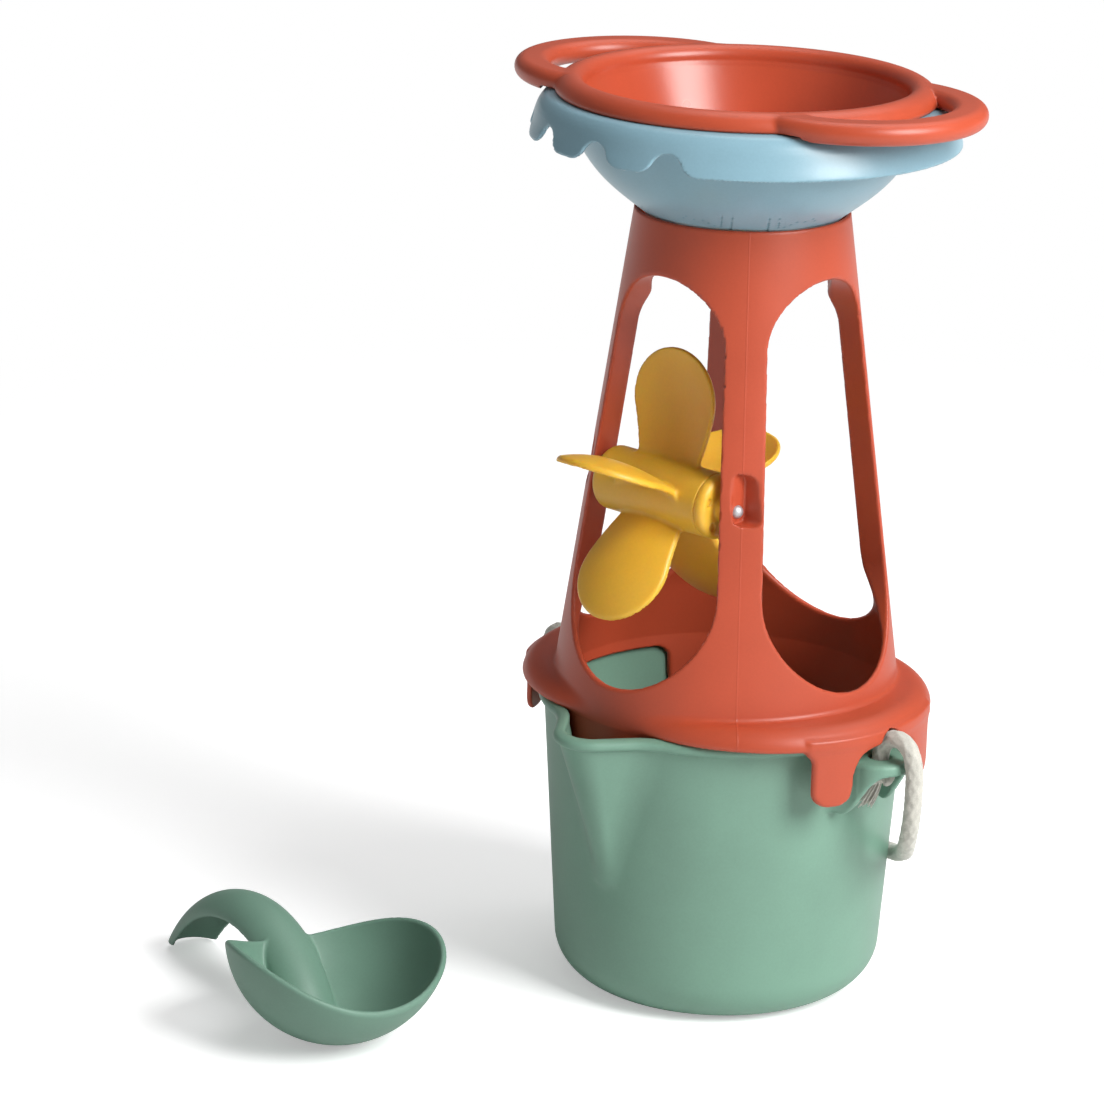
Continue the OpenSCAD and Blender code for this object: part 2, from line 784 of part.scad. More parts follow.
// Funnel section: bowl, flat rim, flared skirt, inner face and outlet
module funnel_section() {
    steps = [for (i = [0 : bowl_steps]) i / bowl_steps];
    last = len(skirt_shares) - 1;
    polygon(concat(
        [[outlet_r + outlet_wall, -cone_h - outlet_l], [outlet_r + outlet_wall, -cone_h]],
        [for (i = [0 : bowl_steps - 1]) [bowl_r(steps[i]), bowl_z(steps[i])]],
        [for (i = [2 : last]) skirt_point(i, funnel_skirt_t)],
        [for (i = [last : -1 : 0]) skirt_point(i, 0)],
        [for (i = [bowl_steps : -1 : 0]) [bowl_r(steps[i]) - funnel_wall, bowl_z(steps[i])]],
        [[outlet_r, -cone_h], [outlet_r, -cone_h - outlet_l]]));
}

// Wave outline of a notch, its foot just below zero
module notch_outline() {
    polygon(concat(
        [[-notch_w / 2, -over]],
        [for (i = [-notch_steps : notch_steps]) [notch_w / 2 * i / notch_steps, notch_wave(i)]],
        [[notch_w / 2, -over]]));
}

module funnel() {
    color(pale_blue)
    translate([0, 0, funnel_z])
    difference() {
        rotate_extrude()
            funnel_section();
        for (i = [0 : notch_n - 1])
            rotate([0, 0, notch_first - i * notch_pitch - 90])
                translate([skirt_edge_r + notch_in, 0, funnel_h - funnel_skirt_h])
                    rotate([90, 0, 90])
                        linear_extrude(funnel_flare + over)
                            notch_outline();
    }
}

// Stadium section of a sieve handle's bar
module bar_section() {
    square([handle_w - handle_h, handle_h], center = true);
    for (s = [-1, 1])
        translate([s * (handle_w - handle_h) / 2, 0])
            circle(handle_h / 2);
}

// Loop handle on +X, cut off at the rim and relieved over the funnel's rim
module loop_handle() {
    difference() {
        translate([handle_shift, 0, handle_up])
            rotate_extrude()
                translate([handle_r, 0])
                    bar_section();
        cylinder(r = sieve_rim_r - sieve_rim_w / 2, h = 2 * handle_h, center = true);
        translate([0, 0, -handle_h])
            cylinder(r = skirt_edge_r + handle_relief, h = handle_h + lift_gap);
    }
}

// Rolled rim and pan of the sieve
module sieve_section() {
    brow = sieve_rim_w - sieve_crest_r;
    translate([sieve_in_r, 0])
        square([sieve_crest_r, sieve_rim_h - sieve_crest_r]);
    translate([sieve_in_r + sieve_crest_r, sieve_rim_h - sieve_crest_r])
        intersection() {
            circle(sieve_crest_r);
            translate([-sieve_crest_r, 0])
                square(sieve_crest_r);
        }
    translate([sieve_in_r + sieve_crest_r, 0]) {
        square([brow, sieve_rim_h - brow]);
        translate([0, sieve_rim_h - brow])
            intersection() {
                circle(brow);
                square(brow);
            }
    }
    polygon([
        [0, -sieve_depth], [sieve_floor_r, -sieve_depth],
        [sieve_floor_r + sieve_wall, sieve_wall - sieve_depth],
        [sieve_in_r + sieve_wall, 0], [sieve_in_r + sieve_wall, over], [sieve_in_r, over],
        [sieve_floor_r, sieve_wall - sieve_depth], [0, sieve_wall - sieve_depth]]);
}

module sieve() {
    color(terracotta)
    translate([0, 0, sieve_z])
    rotate([0, 0, sieve_turn])
    difference() {
        union() {
            rotate_extrude()
                sieve_section();
            both_sides()
                loop_handle();
        }
        translate([0, 0, -sieve_depth - over])
            for (k = [0 : sieve_rings], i = [0 : max(0, 6 * k - 1)])
                rotate([0, 0, k == 0 ? 0 : 60 * i / k])
                    translate([k * sieve_pitch, 0, 0])
                        cylinder(r = sieve_hole_r, h = sieve_wall + 2 * over, $fn = 24);
    }
}

// Bowed section of the handle, round side out
module tongue_section() {
    translate([tongue_r, 0])
        intersection() {
            translate([-tongue_bow_r, 0])
                difference() {
                    circle(tongue_bow_r);
                    circle(tongue_bow_r - scoop_wall);
                }
            translate([-tongue_sag / 2, 0])
                square([tongue_sag, tongue_w + 2 * over], center = true);
        }
}

// Half width of the handle at a share u of its length, tip to foot
function tongue_half(u) = let (end = u < 0.5 ? tongue_tip_w : tongue_end_share * tongue_w)
    (end + (tongue_w - end) * sin(180 * u)) / 2;

// Plan of the handle
module tongue_plan() {
    reach = tongue_foot_x - tongue_tip_x;
    polygon(concat(
        [for (i = [0 : tongue_steps])
            [tongue_tip_x + reach * i / tongue_steps, tongue_half(i / tongue_steps)]],
        [for (i = [tongue_steps : -1 : 0])
            [tongue_tip_x + reach * i / tongue_steps, -tongue_half(i / tongue_steps)]]));
}

// Handle: one bend from the bowl's floor over the crest to the tip
module tongue() {
    intersection() {
        translate([-tongue_x, 0, tongue_h - scoop_r])
            rotate([90, 0, 0])
                translate([0, -tongue_r, 0])
                    rotate([0, 0, tongue_from])
                        rotate_extrude(angle = tongue_turn)
                            tongue_section();
        translate([0, 0, tip_lift - scoop_r])
            linear_extrude(2 * scoop_r)
                tongue_plan();
    }
}

module scoop() {
    color(sage)
    translate([scoop_x, scoop_y, scoop_r])
    rotate([0, 0, scoop_yaw])
    rotate([scoop_roll, 0, 0])
    union() {
        intersection() {
            difference() {
                sphere(scoop_r);
                sphere(scoop_r - scoop_wall);
            }
            translate([-scoop_rim_back, 0, -scoop_rim_low - scoop_rim_r])
                rotate([90, 0, 0])
                    cylinder(r = scoop_rim_r, h = 4 * scoop_r, center = true);
        }
        intersection() {
            tongue();
            union() {
                sphere(scoop_r - scoop_wall / 2);
                translate([-(scoop_clip_share + 4) * scoop_r, -2 * scoop_r, -2 * scoop_r])
                    cube(4 * scoop_r);
            }
        }
    }
}

bucket();
rope_handle();
rope_knot_right();
rope_knot_left();
mill_tower();
axle_pin();
sand_wheel();
funnel();
sieve();
scoop();
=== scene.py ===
"""Looks of the sand wheel toy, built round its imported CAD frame.

Lengths in this file are millimetres in the CAD frame until a mesh is made, which is in metres.
Each moulded piece is the zero surface of a distance field with the same values as its CAD solid, with
the rounded edges and fillets of a moulding, so it lies where the solid lies.
"""
import math

import bpy
import numpy as np
from mathutils import Matrix, Vector


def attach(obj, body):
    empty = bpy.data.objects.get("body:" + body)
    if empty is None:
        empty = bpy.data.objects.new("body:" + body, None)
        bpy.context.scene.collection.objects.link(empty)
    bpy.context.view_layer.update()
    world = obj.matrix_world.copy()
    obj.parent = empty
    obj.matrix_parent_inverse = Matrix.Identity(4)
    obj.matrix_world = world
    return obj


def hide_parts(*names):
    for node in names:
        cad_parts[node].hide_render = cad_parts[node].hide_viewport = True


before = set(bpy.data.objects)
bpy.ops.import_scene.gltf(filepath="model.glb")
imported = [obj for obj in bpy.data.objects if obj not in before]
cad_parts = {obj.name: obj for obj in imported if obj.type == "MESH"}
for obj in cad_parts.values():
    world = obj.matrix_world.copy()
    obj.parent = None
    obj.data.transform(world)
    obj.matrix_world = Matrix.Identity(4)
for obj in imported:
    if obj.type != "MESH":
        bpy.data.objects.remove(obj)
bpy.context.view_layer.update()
MM = 0.001

# Values of the part's source: bucket and spout
BUCKET_H = 132
BUCKET_LOW_R = 72
BUCKET_RIM_R = 79.4
BUCKET_WALL = 2.6
BUCKET_EDGE = 18
LIP = 2.6
LIP_H = 4.6
SPOUT_TIP_Y = 85
SPOUT_TIP_R = 14
SPOUT_FLANK_X = 22
SPOUT_FLANK_Y = 71.07
SPOUT_FLANK_R = 5
SPOUT_FOOT_Y = 69.33
SPOUT_FOOT_Z = 60

# Values of the part's source: ears of the bucket
EAR_TOP = 123
EAR_MID_X = 88.6
EAR_HALF = 14
EAR_ROOT_X = 72
EAR_ROOT = 20
EAR_NECK_X = 82
EAR_T = 3.5
EAR_WALL = 3
EAR_LOW = 98
EAR_RISE = 19.8
EAR_EDGE_X = 80
EAR_EDGE_RUN = 20
ROPE_HOLE_X = 89
ROPE_HOLE_R = 4.7

# Values of the part's source: rope and knots
ROPE_D = 7.8
ROPE_HALF = [
    (89, 0, 112), (89, 0, 123), (91.5, 0, 130), (98, 0, 133), (104.3, 0, 130.2), (107.2, 0.5, 122),
    (107.4, 0.8, 110), (105.5, 2.5, 98), (100, 7.7, 86), (89.5, 19.5, 75), (76, 35.5, 66.5),
    (58, 54.5, 55.5), (45, 65.3, 50), (31, 73, 46), (16, 78, 43.5)]
ROPE_ROUTE = ROPE_HALF + [(0, 79.6, 42.5)] + [(-x, y, z) for x, y, z in reversed(ROPE_HALF)]
KNOT_Z = 114.35
KNOT_R = 6.75
TAIL_LEAN = 24
TAIL_L = 9
TAIL_SWAY = 3

# Values of the part's source: tower
TOWER_H = 214.4
FOOT_R = 76.2
TOP_R = 46
SKIRT_H = 36
SKIRT_LOW_R = 73.86
INSIDE_H = (-40, -36, 0, 28.5, 68.5, 180.1, 201.1, 214.4, 220)
INSIDE_T = (2.6, 2.6, 2.6, 2.6, 14, 14, 2.6, 1.8, 1.8)
WINDOW_LOW, WINDOW_LOW_R = 56.5, 40
WINDOW_TOP, WINDOW_TOP_R = 161.5, 30
BRIM_R = 74.6
BRIM_SHIFT = 20
BRIM_H = 9.4
DRIP_T = 2.8
DRIP_MID = 29
DRIP_HALF = 8.5
DRIP_L = 25
DRIP_END = 7.1
SCALLOP_R = 21
SCALLOP_LOW = 17.5
PORT_HALF_W = 35
PORT_MID = -16.5
PORT_HALF_H = 11
PORT_R = 6
NOTCH_R = 5.5
NOTCH_X = 83
POCKET_HALF = 4.4
POCKET_LOW = 91.8
POCKET_TOP = 113.6
POCKET_R = 3
POCKET_FLOOR = 39.8

# Values of the part's source: axle pin and wheel
AXLE_Y = -42.2
AXLE_Z = 229
AXLE_R = 3
AXLE_HALF = 42.2
HUB_R = 14
HUB_HALF = 32
HUB_EDGE = 3
BOSS_R = 6
BOSS_HALF = 35.3
BORE_R = 3.08
GROOVE_X = 27.4
GROOVE_HALF = 0.45
GROOVE_D = 0.5
MARK_R = 1.7
MARK_D = 1
MARK_AT = 9.5
PADDLES = 5
PADDLE_TURN = 22
PADDLE_MID = 40
PADDLE_R = 22.5
PADDLE_ROOT_R = 13.1
PADDLE_T = 2.6
PADDLE_CUP = 5.2
PADDLE_BEND = 51.28
PADDLE_SWEEP = 120.7

# Values of the part's source: funnel
FUNNEL_Z = 346.4
FUNNEL_H = 48.4
FUNNEL_SEAT = 43.9
FUNNEL_R = 79
FUNNEL_WALL = 3
FUNNEL_EDGE_R = 82
BOWL_SHARES = (0.55, 0.45)
BOWL_POWER = 4
FLARE = 10.1
SKIRT_DROP = 17.7
SKIRT_T = 2.3
SKIRT_SHARES = ((0, 0), (0.3, 0.07), (0.59, 0.29), (0.81, 0.66), (1, 1))
CONE_H = 32.9
OUTLET_R = 11
OUTLET_L = 8
NOTCHES = 8
NOTCH_FIRST = 20.5
NOTCH_PITCH = 22.5
NOTCH_D = 8.4
NOTCH_AT_R = 90
NOTCH_HALF = 13.5
NOTCH_HEAD = 6.075
NOTCH_HEAD_R = 6.772
NOTCH_FOOT_R = 8.276

# Values of the part's source: sieve
SIEVE_Z = 394.8
SIEVE_TURN = 2.4
SIEVE_IN = 68.6
SIEVE_H = 7.6
CREST_R = 5
BROW = 7.4
PAN_LIP = 1
PAN_DEPTH = 31
PAN_WALL = 2.4
PAN_FLOOR_R = 54
HOLE_R = 2.4
HOLE_RINGS = 4
HOLE_PITCH = 12.5
HANDLE_R = 47
HANDLE_SHIFT = 58
HANDLE_W = 15.4
HANDLE_H = 9.4
HANDLE_UP = 2.6
HANDLE_IN = 74.8
RELIEF_R = 87

# Values of the part's source: scoop
SCOOP_AT = (-59.4, -175.2, 47.8)
SCOOP_YAW = -12.4
SCOOP_ROLL = -4.7
SCOOP_R = 47.8
SCOOP_WALL = 2.8
SCOOP_RIM_X = -2.1
SCOOP_RIM_Z = -64
SCOOP_RIM_R = 61
TONGUE_X = -66.5
TONGUE_Z = -74.4
TONGUE_R = 67.2
TONGUE_BOW = 14.5
TONGUE_SAG = 10.72
TONGUE_W = 28
TONGUE_TIP_W = 20
TONGUE_END_SHARE = 0.8
TONGUE_TIP_X = -133.7
TONGUE_FOOT_X = 11.95
TONGUE_CLIP_X = -38.24
TIP_LIFT = 1.2

# Camera at the photograph's viewing angle, in metres and radians
CAMERA_AT = (1.17598, -1.3529, 0.75178)
CAMERA_TURN = math.radians(41)
CAMERA_PITCH = 0.293
CAMERA_ROLL = 0.037
CAMERA_SENSOR = 36
CAMERA_LENS = 141.07
CAMERA_SHIFT = (-0.1625, -0.0354)
CAMERA_CLIP = (0.05, 60)


def make_camera():
    data = bpy.data.cameras.new("camera")
    data.sensor_width, data.lens = CAMERA_SENSOR, CAMERA_LENS
    data.shift_x, data.shift_y = CAMERA_SHIFT
    data.clip_start, data.clip_end = CAMERA_CLIP
    cam = bpy.data.objects.new("camera", data)
    cam.matrix_world = (
        Matrix.Translation(CAMERA_AT)
        @ Matrix.Rotation(CAMERA_TURN, 4, "Z")
        @ Matrix.Rotation(math.pi / 2 - CAMERA_PITCH, 4, "X")
        @ Matrix.Rotation(CAMERA_ROLL, 4, "Z"))
    bpy.context.scene.collection.objects.link(cam)
    bpy.context.scene.camera = cam


make_camera()


# Materials, with texture scales per metre and relief in metres

SAGE = (0.445, 0.592, 0.518)
TERRACOTTA = (0.705, 0.285, 0.175)
MUSTARD = (0.872, 0.678, 0.21)
PALE_BLUE = (0.51, 0.65, 0.705)
COTTON = (0.76, 0.75, 0.71)
STEEL = (0.8, 0.8, 0.81)
SCOOP_SHADE = 0.92

# Moulded plastic
DRIFT_SCALE = 22
FLECK_SCALE = 900
DRIFT_SHARE, FLECK_SHARE = 0.75, 0.25
PLASTIC_STOPS = (0.34, 0.5, 0.66)
GRAIN_SCALE = 2600
GRAIN_RELIEF = 0.00012
ROUGH_SHARES = (0.6, 0.4)
ROUGH_SPREAD = 0.05
GLOSS_FADE = (1, 1.5)
GLOSS_SPREAD = (0.02, 0.03)
WAVE_SCALE = 140
WAVE_STRENGTH = 0.05
WAVE_RELIEF = 0.0006
SEAM_WAY = (math.sqrt(0.5), math.sqrt(0.5))
SEAM_SPREAD = (0.00012, 0.00042)
SEAM_STRENGTH = 0.5
SEAM_RELIEF = 0.00016
PLASTIC_IOR = 1.5
GLOW_RADIUS = (1.0, 0.55, 0.12)
GLOW_DEPTH = 0.006

# Cotton
FIBRE_SCALE = 1500
FIBRE_STRENGTH = 0.5
FIBRE_RELIEF = 0.0003
TUFT_SCALE = 260
COTTON_SHARES = (0.6, 0.4)
COTTON_STOPS = (0.32, 0.5, 0.7)
COTTON_SHADES = (0.9, 1, 1.05)
COTTON_ROUGH = (0.82, 0.98)
SHEEN = 0.35
SHEEN_ROUGH = 0.5

# Steel
STEEL_SCALE = 500
STEEL_STRETCH = (60, 1, 1)
STEEL_STOPS = (0.35, 0.65)
STEEL_SHADES = (0.9, 1.05)
STEEL_METAL = 0.85
STEEL_ROUGH = (0.5, 0.6)
STEEL_STRENGTH = 0.15
STEEL_RELIEF = 0.0001


def linear(colour):
    """Linear RGBA of an sRGB colour."""
    return tuple(c / 12.92 if c < 0.04045 else ((c + 0.055) / 1.055) ** 2.4 for c in colour) + (1.0,)


def shade(colour, by):
    return tuple(min(1.0, c * by) for c in colour)


class Nodes:
    """Short names for building a node material."""

    def __init__(self, name):
        self.material = bpy.data.materials.new(name)
        self.material.use_nodes = True
        self.tree = self.material.node_tree
        self.bsdf = self.tree.nodes["Principled BSDF"]
        self.place = self.add("ShaderNodeTexCoord").outputs["Object"]

    def add(self, kind, **values):
        node = self.tree.nodes.new(kind)
        for key, value in values.items():
            setattr(node, key, value)
        return node

    def join(self, a, b):
        self.tree.links.new(a, b)

    def set(self, **values):
        """Constants of the surface shader, named with _ for a space."""
        for key, value in values.items():
            self.bsdf.inputs[key.replace("_", " ")].default_value = value

    def noise(self, scale, detail=2.0, rough=0.5, place=None):
        node = self.add("ShaderNodeTexNoise")
        node.inputs["Scale"].default_value = scale
        node.inputs["Detail"].default_value = detail
        node.inputs["Roughness"].default_value = rough
        self.join(place or self.place, node.inputs["Vector"])
        return node.outputs["Fac"]

    def spread(self, value, low, high, start=0.3, end=0.7):
        node = self.add("ShaderNodeMapRange")
        for key, number in (("From Min", start), ("From Max", end), ("To Min", low), ("To Max", high)):
            node.inputs[key].default_value = number
        self.join(value, node.inputs["Value"])
        return node.outputs["Result"]

    def ramp(self, value, colours):
        node = self.add("ShaderNodeValToRGB")
        stops = node.color_ramp.elements
        while len(stops) < len(colours):
            stops.new(0.5)
        for stop, (at, colour) in zip(stops, colours):
            stop.position, stop.color = at, linear(colour)
        self.join(value, node.inputs["Fac"])
        return node.outputs["Color"]

    def shades(self, value, colour, stops, by):
        return self.ramp(value, [(at, shade(colour, b)) for at, b in zip(stops, by)])

    def math(self, operation, a, b=None):
        node = self.add("ShaderNodeMath", operation=operation)
        for socket, value in zip(node.inputs, (a, b)):
            if value is None:
                continue
            if isinstance(value, (int, float)):
                socket.default_value = value
            else:
                self.join(value, socket)
        return node.outputs["Value"]

    def blend(self, a, share_a, b, share_b):
        return self.math("ADD", self.math("MULTIPLY", a, share_a), self.math("MULTIPLY", b, share_b))

    def plan(self):
        """The x and y of the object's own place."""
        split = self.add("ShaderNodeSeparateXYZ")
        self.join(self.place, split.inputs["Vector"])
        return split.outputs["X"], split.outputs["Y"]

    def bump(self, height, strength, distance, after=None):
        node = self.add("ShaderNodeBump")
        node.inputs["Strength"].default_value = strength
        node.inputs["Distance"].default_value = distance
        self.join(height, node.inputs["Height"])
        if after is not None:
            self.join(after, node.inputs["Normal"])
        return node.outputs["Normal"]


def moulded(name, colour, rough, grain=0.12, drift=0.03, seam=None, gloss_inside=None, glow=0.0):
    """Moulded plastic: slow colour drift, fine flecks and satin grain.

    seam adds a faint mould line, gloss_inside polishes what lies within a radius, glow lets light through.
    """
    n = Nodes(name)
    slow = n.noise(DRIFT_SCALE, detail=3)
    mixed = n.blend(slow, DRIFT_SHARE, n.noise(FLECK_SCALE), FLECK_SHARE)
    n.join(n.shades(mixed, colour, PLASTIC_STOPS, (1 - drift, 1, 1 + drift)), n.bsdf.inputs["Base Color"])
    fine = n.noise(GRAIN_SCALE, rough=0.6)
    uneven = n.blend(slow, ROUGH_SHARES[0], fine, ROUGH_SHARES[1])
    roughness = n.spread(uneven, rough - ROUGH_SPREAD, rough + ROUGH_SPREAD)
    if gloss_inside:
        edge, inside = gloss_inside
        x, y = n.plan()
        across = n.math("SQRT", n.math("ADD", n.math("POWER", x, 2.0), n.math("POWER", y, 2.0)))
        share = n.spread(across, 0.0, 1.0, (edge - GLOSS_FADE[0]) * MM, (edge + GLOSS_FADE[1]) * MM)
        inner = n.spread(slow, inside - GLOSS_SPREAD[0], inside + GLOSS_SPREAD[1])
        roughness = n.blend(roughness, share, inner, n.math("SUBTRACT", 1.0, share))
    n.join(roughness, n.bsdf.inputs["Roughness"])
    normal = n.bump(fine, grain, GRAIN_RELIEF)
    normal = n.bump(n.noise(WAVE_SCALE), WAVE_STRENGTH, WAVE_RELIEF, normal)
    if seam:
        x, y = n.plan()
        off = n.math("ABSOLUTE", n.blend(x, seam[0], y, seam[1]))
        normal = n.bump(n.spread(off, 1.0, 0.0, *SEAM_SPREAD), SEAM_STRENGTH, SEAM_RELIEF, normal)
    n.join(normal, n.bsdf.inputs["Normal"])
    n.set(IOR=PLASTIC_IOR, Subsurface_Weight=glow, Subsurface_Radius=GLOW_RADIUS, Subsurface_Scale=GLOW_DEPTH)
    return n.material


def cotton(name, colour):
    n = Nodes(name)
    fibre = n.noise(FIBRE_SCALE, detail=4, rough=0.65)
    mixed = n.blend(fibre, COTTON_SHARES[0], n.noise(TUFT_SCALE, detail=3), COTTON_SHARES[1])
    n.join(n.shades(mixed, colour, COTTON_STOPS, COTTON_SHADES), n.bsdf.inputs["Base Color"])
    n.join(n.spread(fibre, *COTTON_ROUGH), n.bsdf.inputs["Roughness"])
    n.join(n.bump(fibre, FIBRE_STRENGTH, FIBRE_RELIEF), n.bsdf.inputs["Normal"])
    n.set(Sheen_Weight=SHEEN, Sheen_Roughness=SHEEN_ROUGH)
    return n.material


def brushed_steel(name, colour):
    n = Nodes(name)
    stretch = n.add("ShaderNodeMapping")
    stretch.inputs["Scale"].default_value = STEEL_STRETCH
    n.join(n.place, stretch.inputs["Vector"])
    drawn = n.noise(STEEL_SCALE, detail=3, rough=0.6, place=stretch.outputs["Vector"])
    n.join(n.shades(drawn, colour, STEEL_STOPS, STEEL_SHADES), n.bsdf.inputs["Base Color"])
    n.set(Metallic=STEEL_METAL)
    n.join(n.spread(drawn, *STEEL_ROUGH), n.bsdf.inputs["Roughness"])
    n.join(n.bump(drawn, STEEL_STRENGTH, STEEL_RELIEF), n.bsdf.inputs["Normal"])
    return n.material


FINISH = {
    "bucket": moulded("bucket_plastic", SAGE, rough=0.46),
    "tower": moulded("tower_plastic", TERRACOTTA, rough=0.44, seam=SEAM_WAY),
    "wheel": moulded("wheel_plastic", MUSTARD, rough=0.4, glow=0.5),
    "funnel": moulded("funnel_plastic", PALE_BLUE, rough=0.33, grain=0.08),
    "sieve": moulded("sieve_plastic", TERRACOTTA, rough=0.38, grain=0.06, gloss_inside=(SIEVE_IN, 0.29)),
    "scoop": moulded("scoop_plastic", shade(SAGE, SCOOP_SHADE), rough=0.52),
    "rope": cotton("cotton_rope", COTTON),
    "axle": brushed_steel("axle_steel", STEEL),
}


# Distance fields and their surfaces

SLAB = 24
LONGEST_MOVE = 0.8
PROBE = 0.06
NORMAL_PROBE = 0.12
SETTLE_ROUNDS = 2
EVEN_ROUNDS = 2
EVEN_SHARE = 0.5
LEAST_SLOPE = 1e-6
LEAST_SQUARE = 1e-9


def smin(a, b, k):
    """Union of two fields with a fillet of width k."""
    h = np.maximum(k - np.abs(a - b), 0) / k
    return np.minimum(a, b) - h * h * k / 4


def smax(a, b, k):
    """Intersection of two fields with an edge rounded over a width k."""
    return -smin(-a, -b, k)


def plate(u, v, half_u, half_v, r):
    """Rectangle with rounded corners."""
    qu, qv = np.abs(u) - half_u + r, np.abs(v) - half_v + r
    return np.minimum(np.maximum(qu, qv), 0) + np.hypot(np.maximum(qu, 0), np.maximum(qv, 0)) - r


def corner(a, b, r):
    """Two fields meeting in a round edge of radius r."""
    a, b = a + r, b + r
    return np.minimum(np.maximum(a, b), 0) + np.hypot(np.maximum(a, 0), np.maximum(b, 0)) - r


def turned(u, v, turn):
    """Coordinates along axes that are turned by an angle in radians."""
    return u * math.cos(turn) + v * math.sin(turn), v * math.cos(turn) - u * math.sin(turn)


def two_discs(u, v, ua, va, ra, ub, vb, rb):
    """Hull of two discs of different radii."""
    du, dv = ub - ua, vb - va
    h = du * du + dv * dv
    pu, pv = u - ua, v - va
    qx, qy = np.abs(pu * dv - pv * du) / h, (pu * du + pv * dv) / h
    b = ra - rb
    c = np.sqrt(np.maximum(h - b * b, LEAST_SQUARE))
    k = c * qy - b * qx
    n = qx * qx + qy * qy
    side = c * qx + b * qy - ra
    low = np.sqrt(h * n) - ra
    top = np.sqrt(np.maximum(h * (n + 1 - 2 * qy), 0)) - rb
    return np.where(k < 0, low, np.where(k > c, top, side))


def polyline(u, v, points):
    """Distance to a run of segments, positive on the left of its direction."""
    best, sign = None, None
    for (ua, va), (ub, vb) in zip(points[:-1], points[1:]):
        du, dv = ub - ua, vb - va
        t = np.clip(((u - ua) * du + (v - va) * dv) / (du * du + dv * dv), 0, 1)
        d = np.hypot(u - ua - t * du, v - va - t * dv)
        s = du * (v - va) - dv * (u - ua)
        if best is None:
            best, sign = d, s
        else:
            sign = np.where(d < best, s, sign)
            best = np.minimum(best, d)
    return np.where(sign > 0, best, -best)


def smooth_run(points, steps):
    """Catmull-Rom curve through points."""
    p = np.array([points[0], *points, points[-1]], float)
    out = []
    for a, b, c, d in zip(p[:-3], p[1:-2], p[2:-1], p[3:]):
        for i in range(steps):
            t = i / steps
            out.append(0.5 * (2 * b + (c - a) * t + (2 * a - 5 * b + 4 * c - d) * t * t
                              + (3 * b - a - 3 * c + d) * t ** 3))
    out.append(p[-1])
    return np.array(out)


def softened(values, run):
    """Moving mean over an odd run of values."""
    return np.convolve(np.pad(values, run // 2, mode="edge"), np.ones(run) / run, mode="valid")


def ruler(*marks):
    """Grid coordinates from start, step, next start, step and so on to the end."""
    runs = [np.linspace(a, b, max(1, round((b - a) / h)), endpoint=False)
            for a, h, b in zip(marks[0::2], marks[1::2], marks[2::2])]
    return np.append(np.concatenate(runs), marks[-1])


def slope(field, p, e=PROBE):
    """Gradient of a field at points, and its size."""
    g = np.empty_like(p)
    for axis in range(3):
        step = np.zeros(3)
        step[axis] = e
        g[:, axis] = (field(*(p + step).T) - field(*(p - step).T)) / (2 * e)
    return g, np.maximum(np.linalg.norm(g, axis=1), LEAST_SLOPE)


def settle(field, p):
    """Points moved onto the zero surface."""
    for _ in range(SETTLE_ROUNDS):
        g, size = slope(field, p)
        move = np.clip(field(*p.T) / size, -LONGEST_MOVE, LONGEST_MOVE)
        p = p - (move / size)[:, None] * g
    return p


def evened(field, points, quads):
    """Points moved along the zero surface towards the mean of their neighbours."""
    ends = np.concatenate([quads[:, [0, 1]], quads[:, [1, 2]], quads[:, [2, 3]], quads[:, [3, 0]]])
    for _ in range(EVEN_ROUNDS):
        mean, links = np.zeros_like(points), np.zeros(len(points))
        for a, b in ((0, 1), (1, 0)):
            np.add.at(mean, ends[:, a], points[ends[:, b]])
            np.add.at(links, ends[:, a], 1)
        g, size = slope(field, points)
        normal = g / size[:, None]
        pull = (mean / np.maximum(links, 1)[:, None] - points) * EVEN_SHARE
        points = settle(field, points + pull - normal * np.sum(pull * normal, 1)[:, None])
    return points


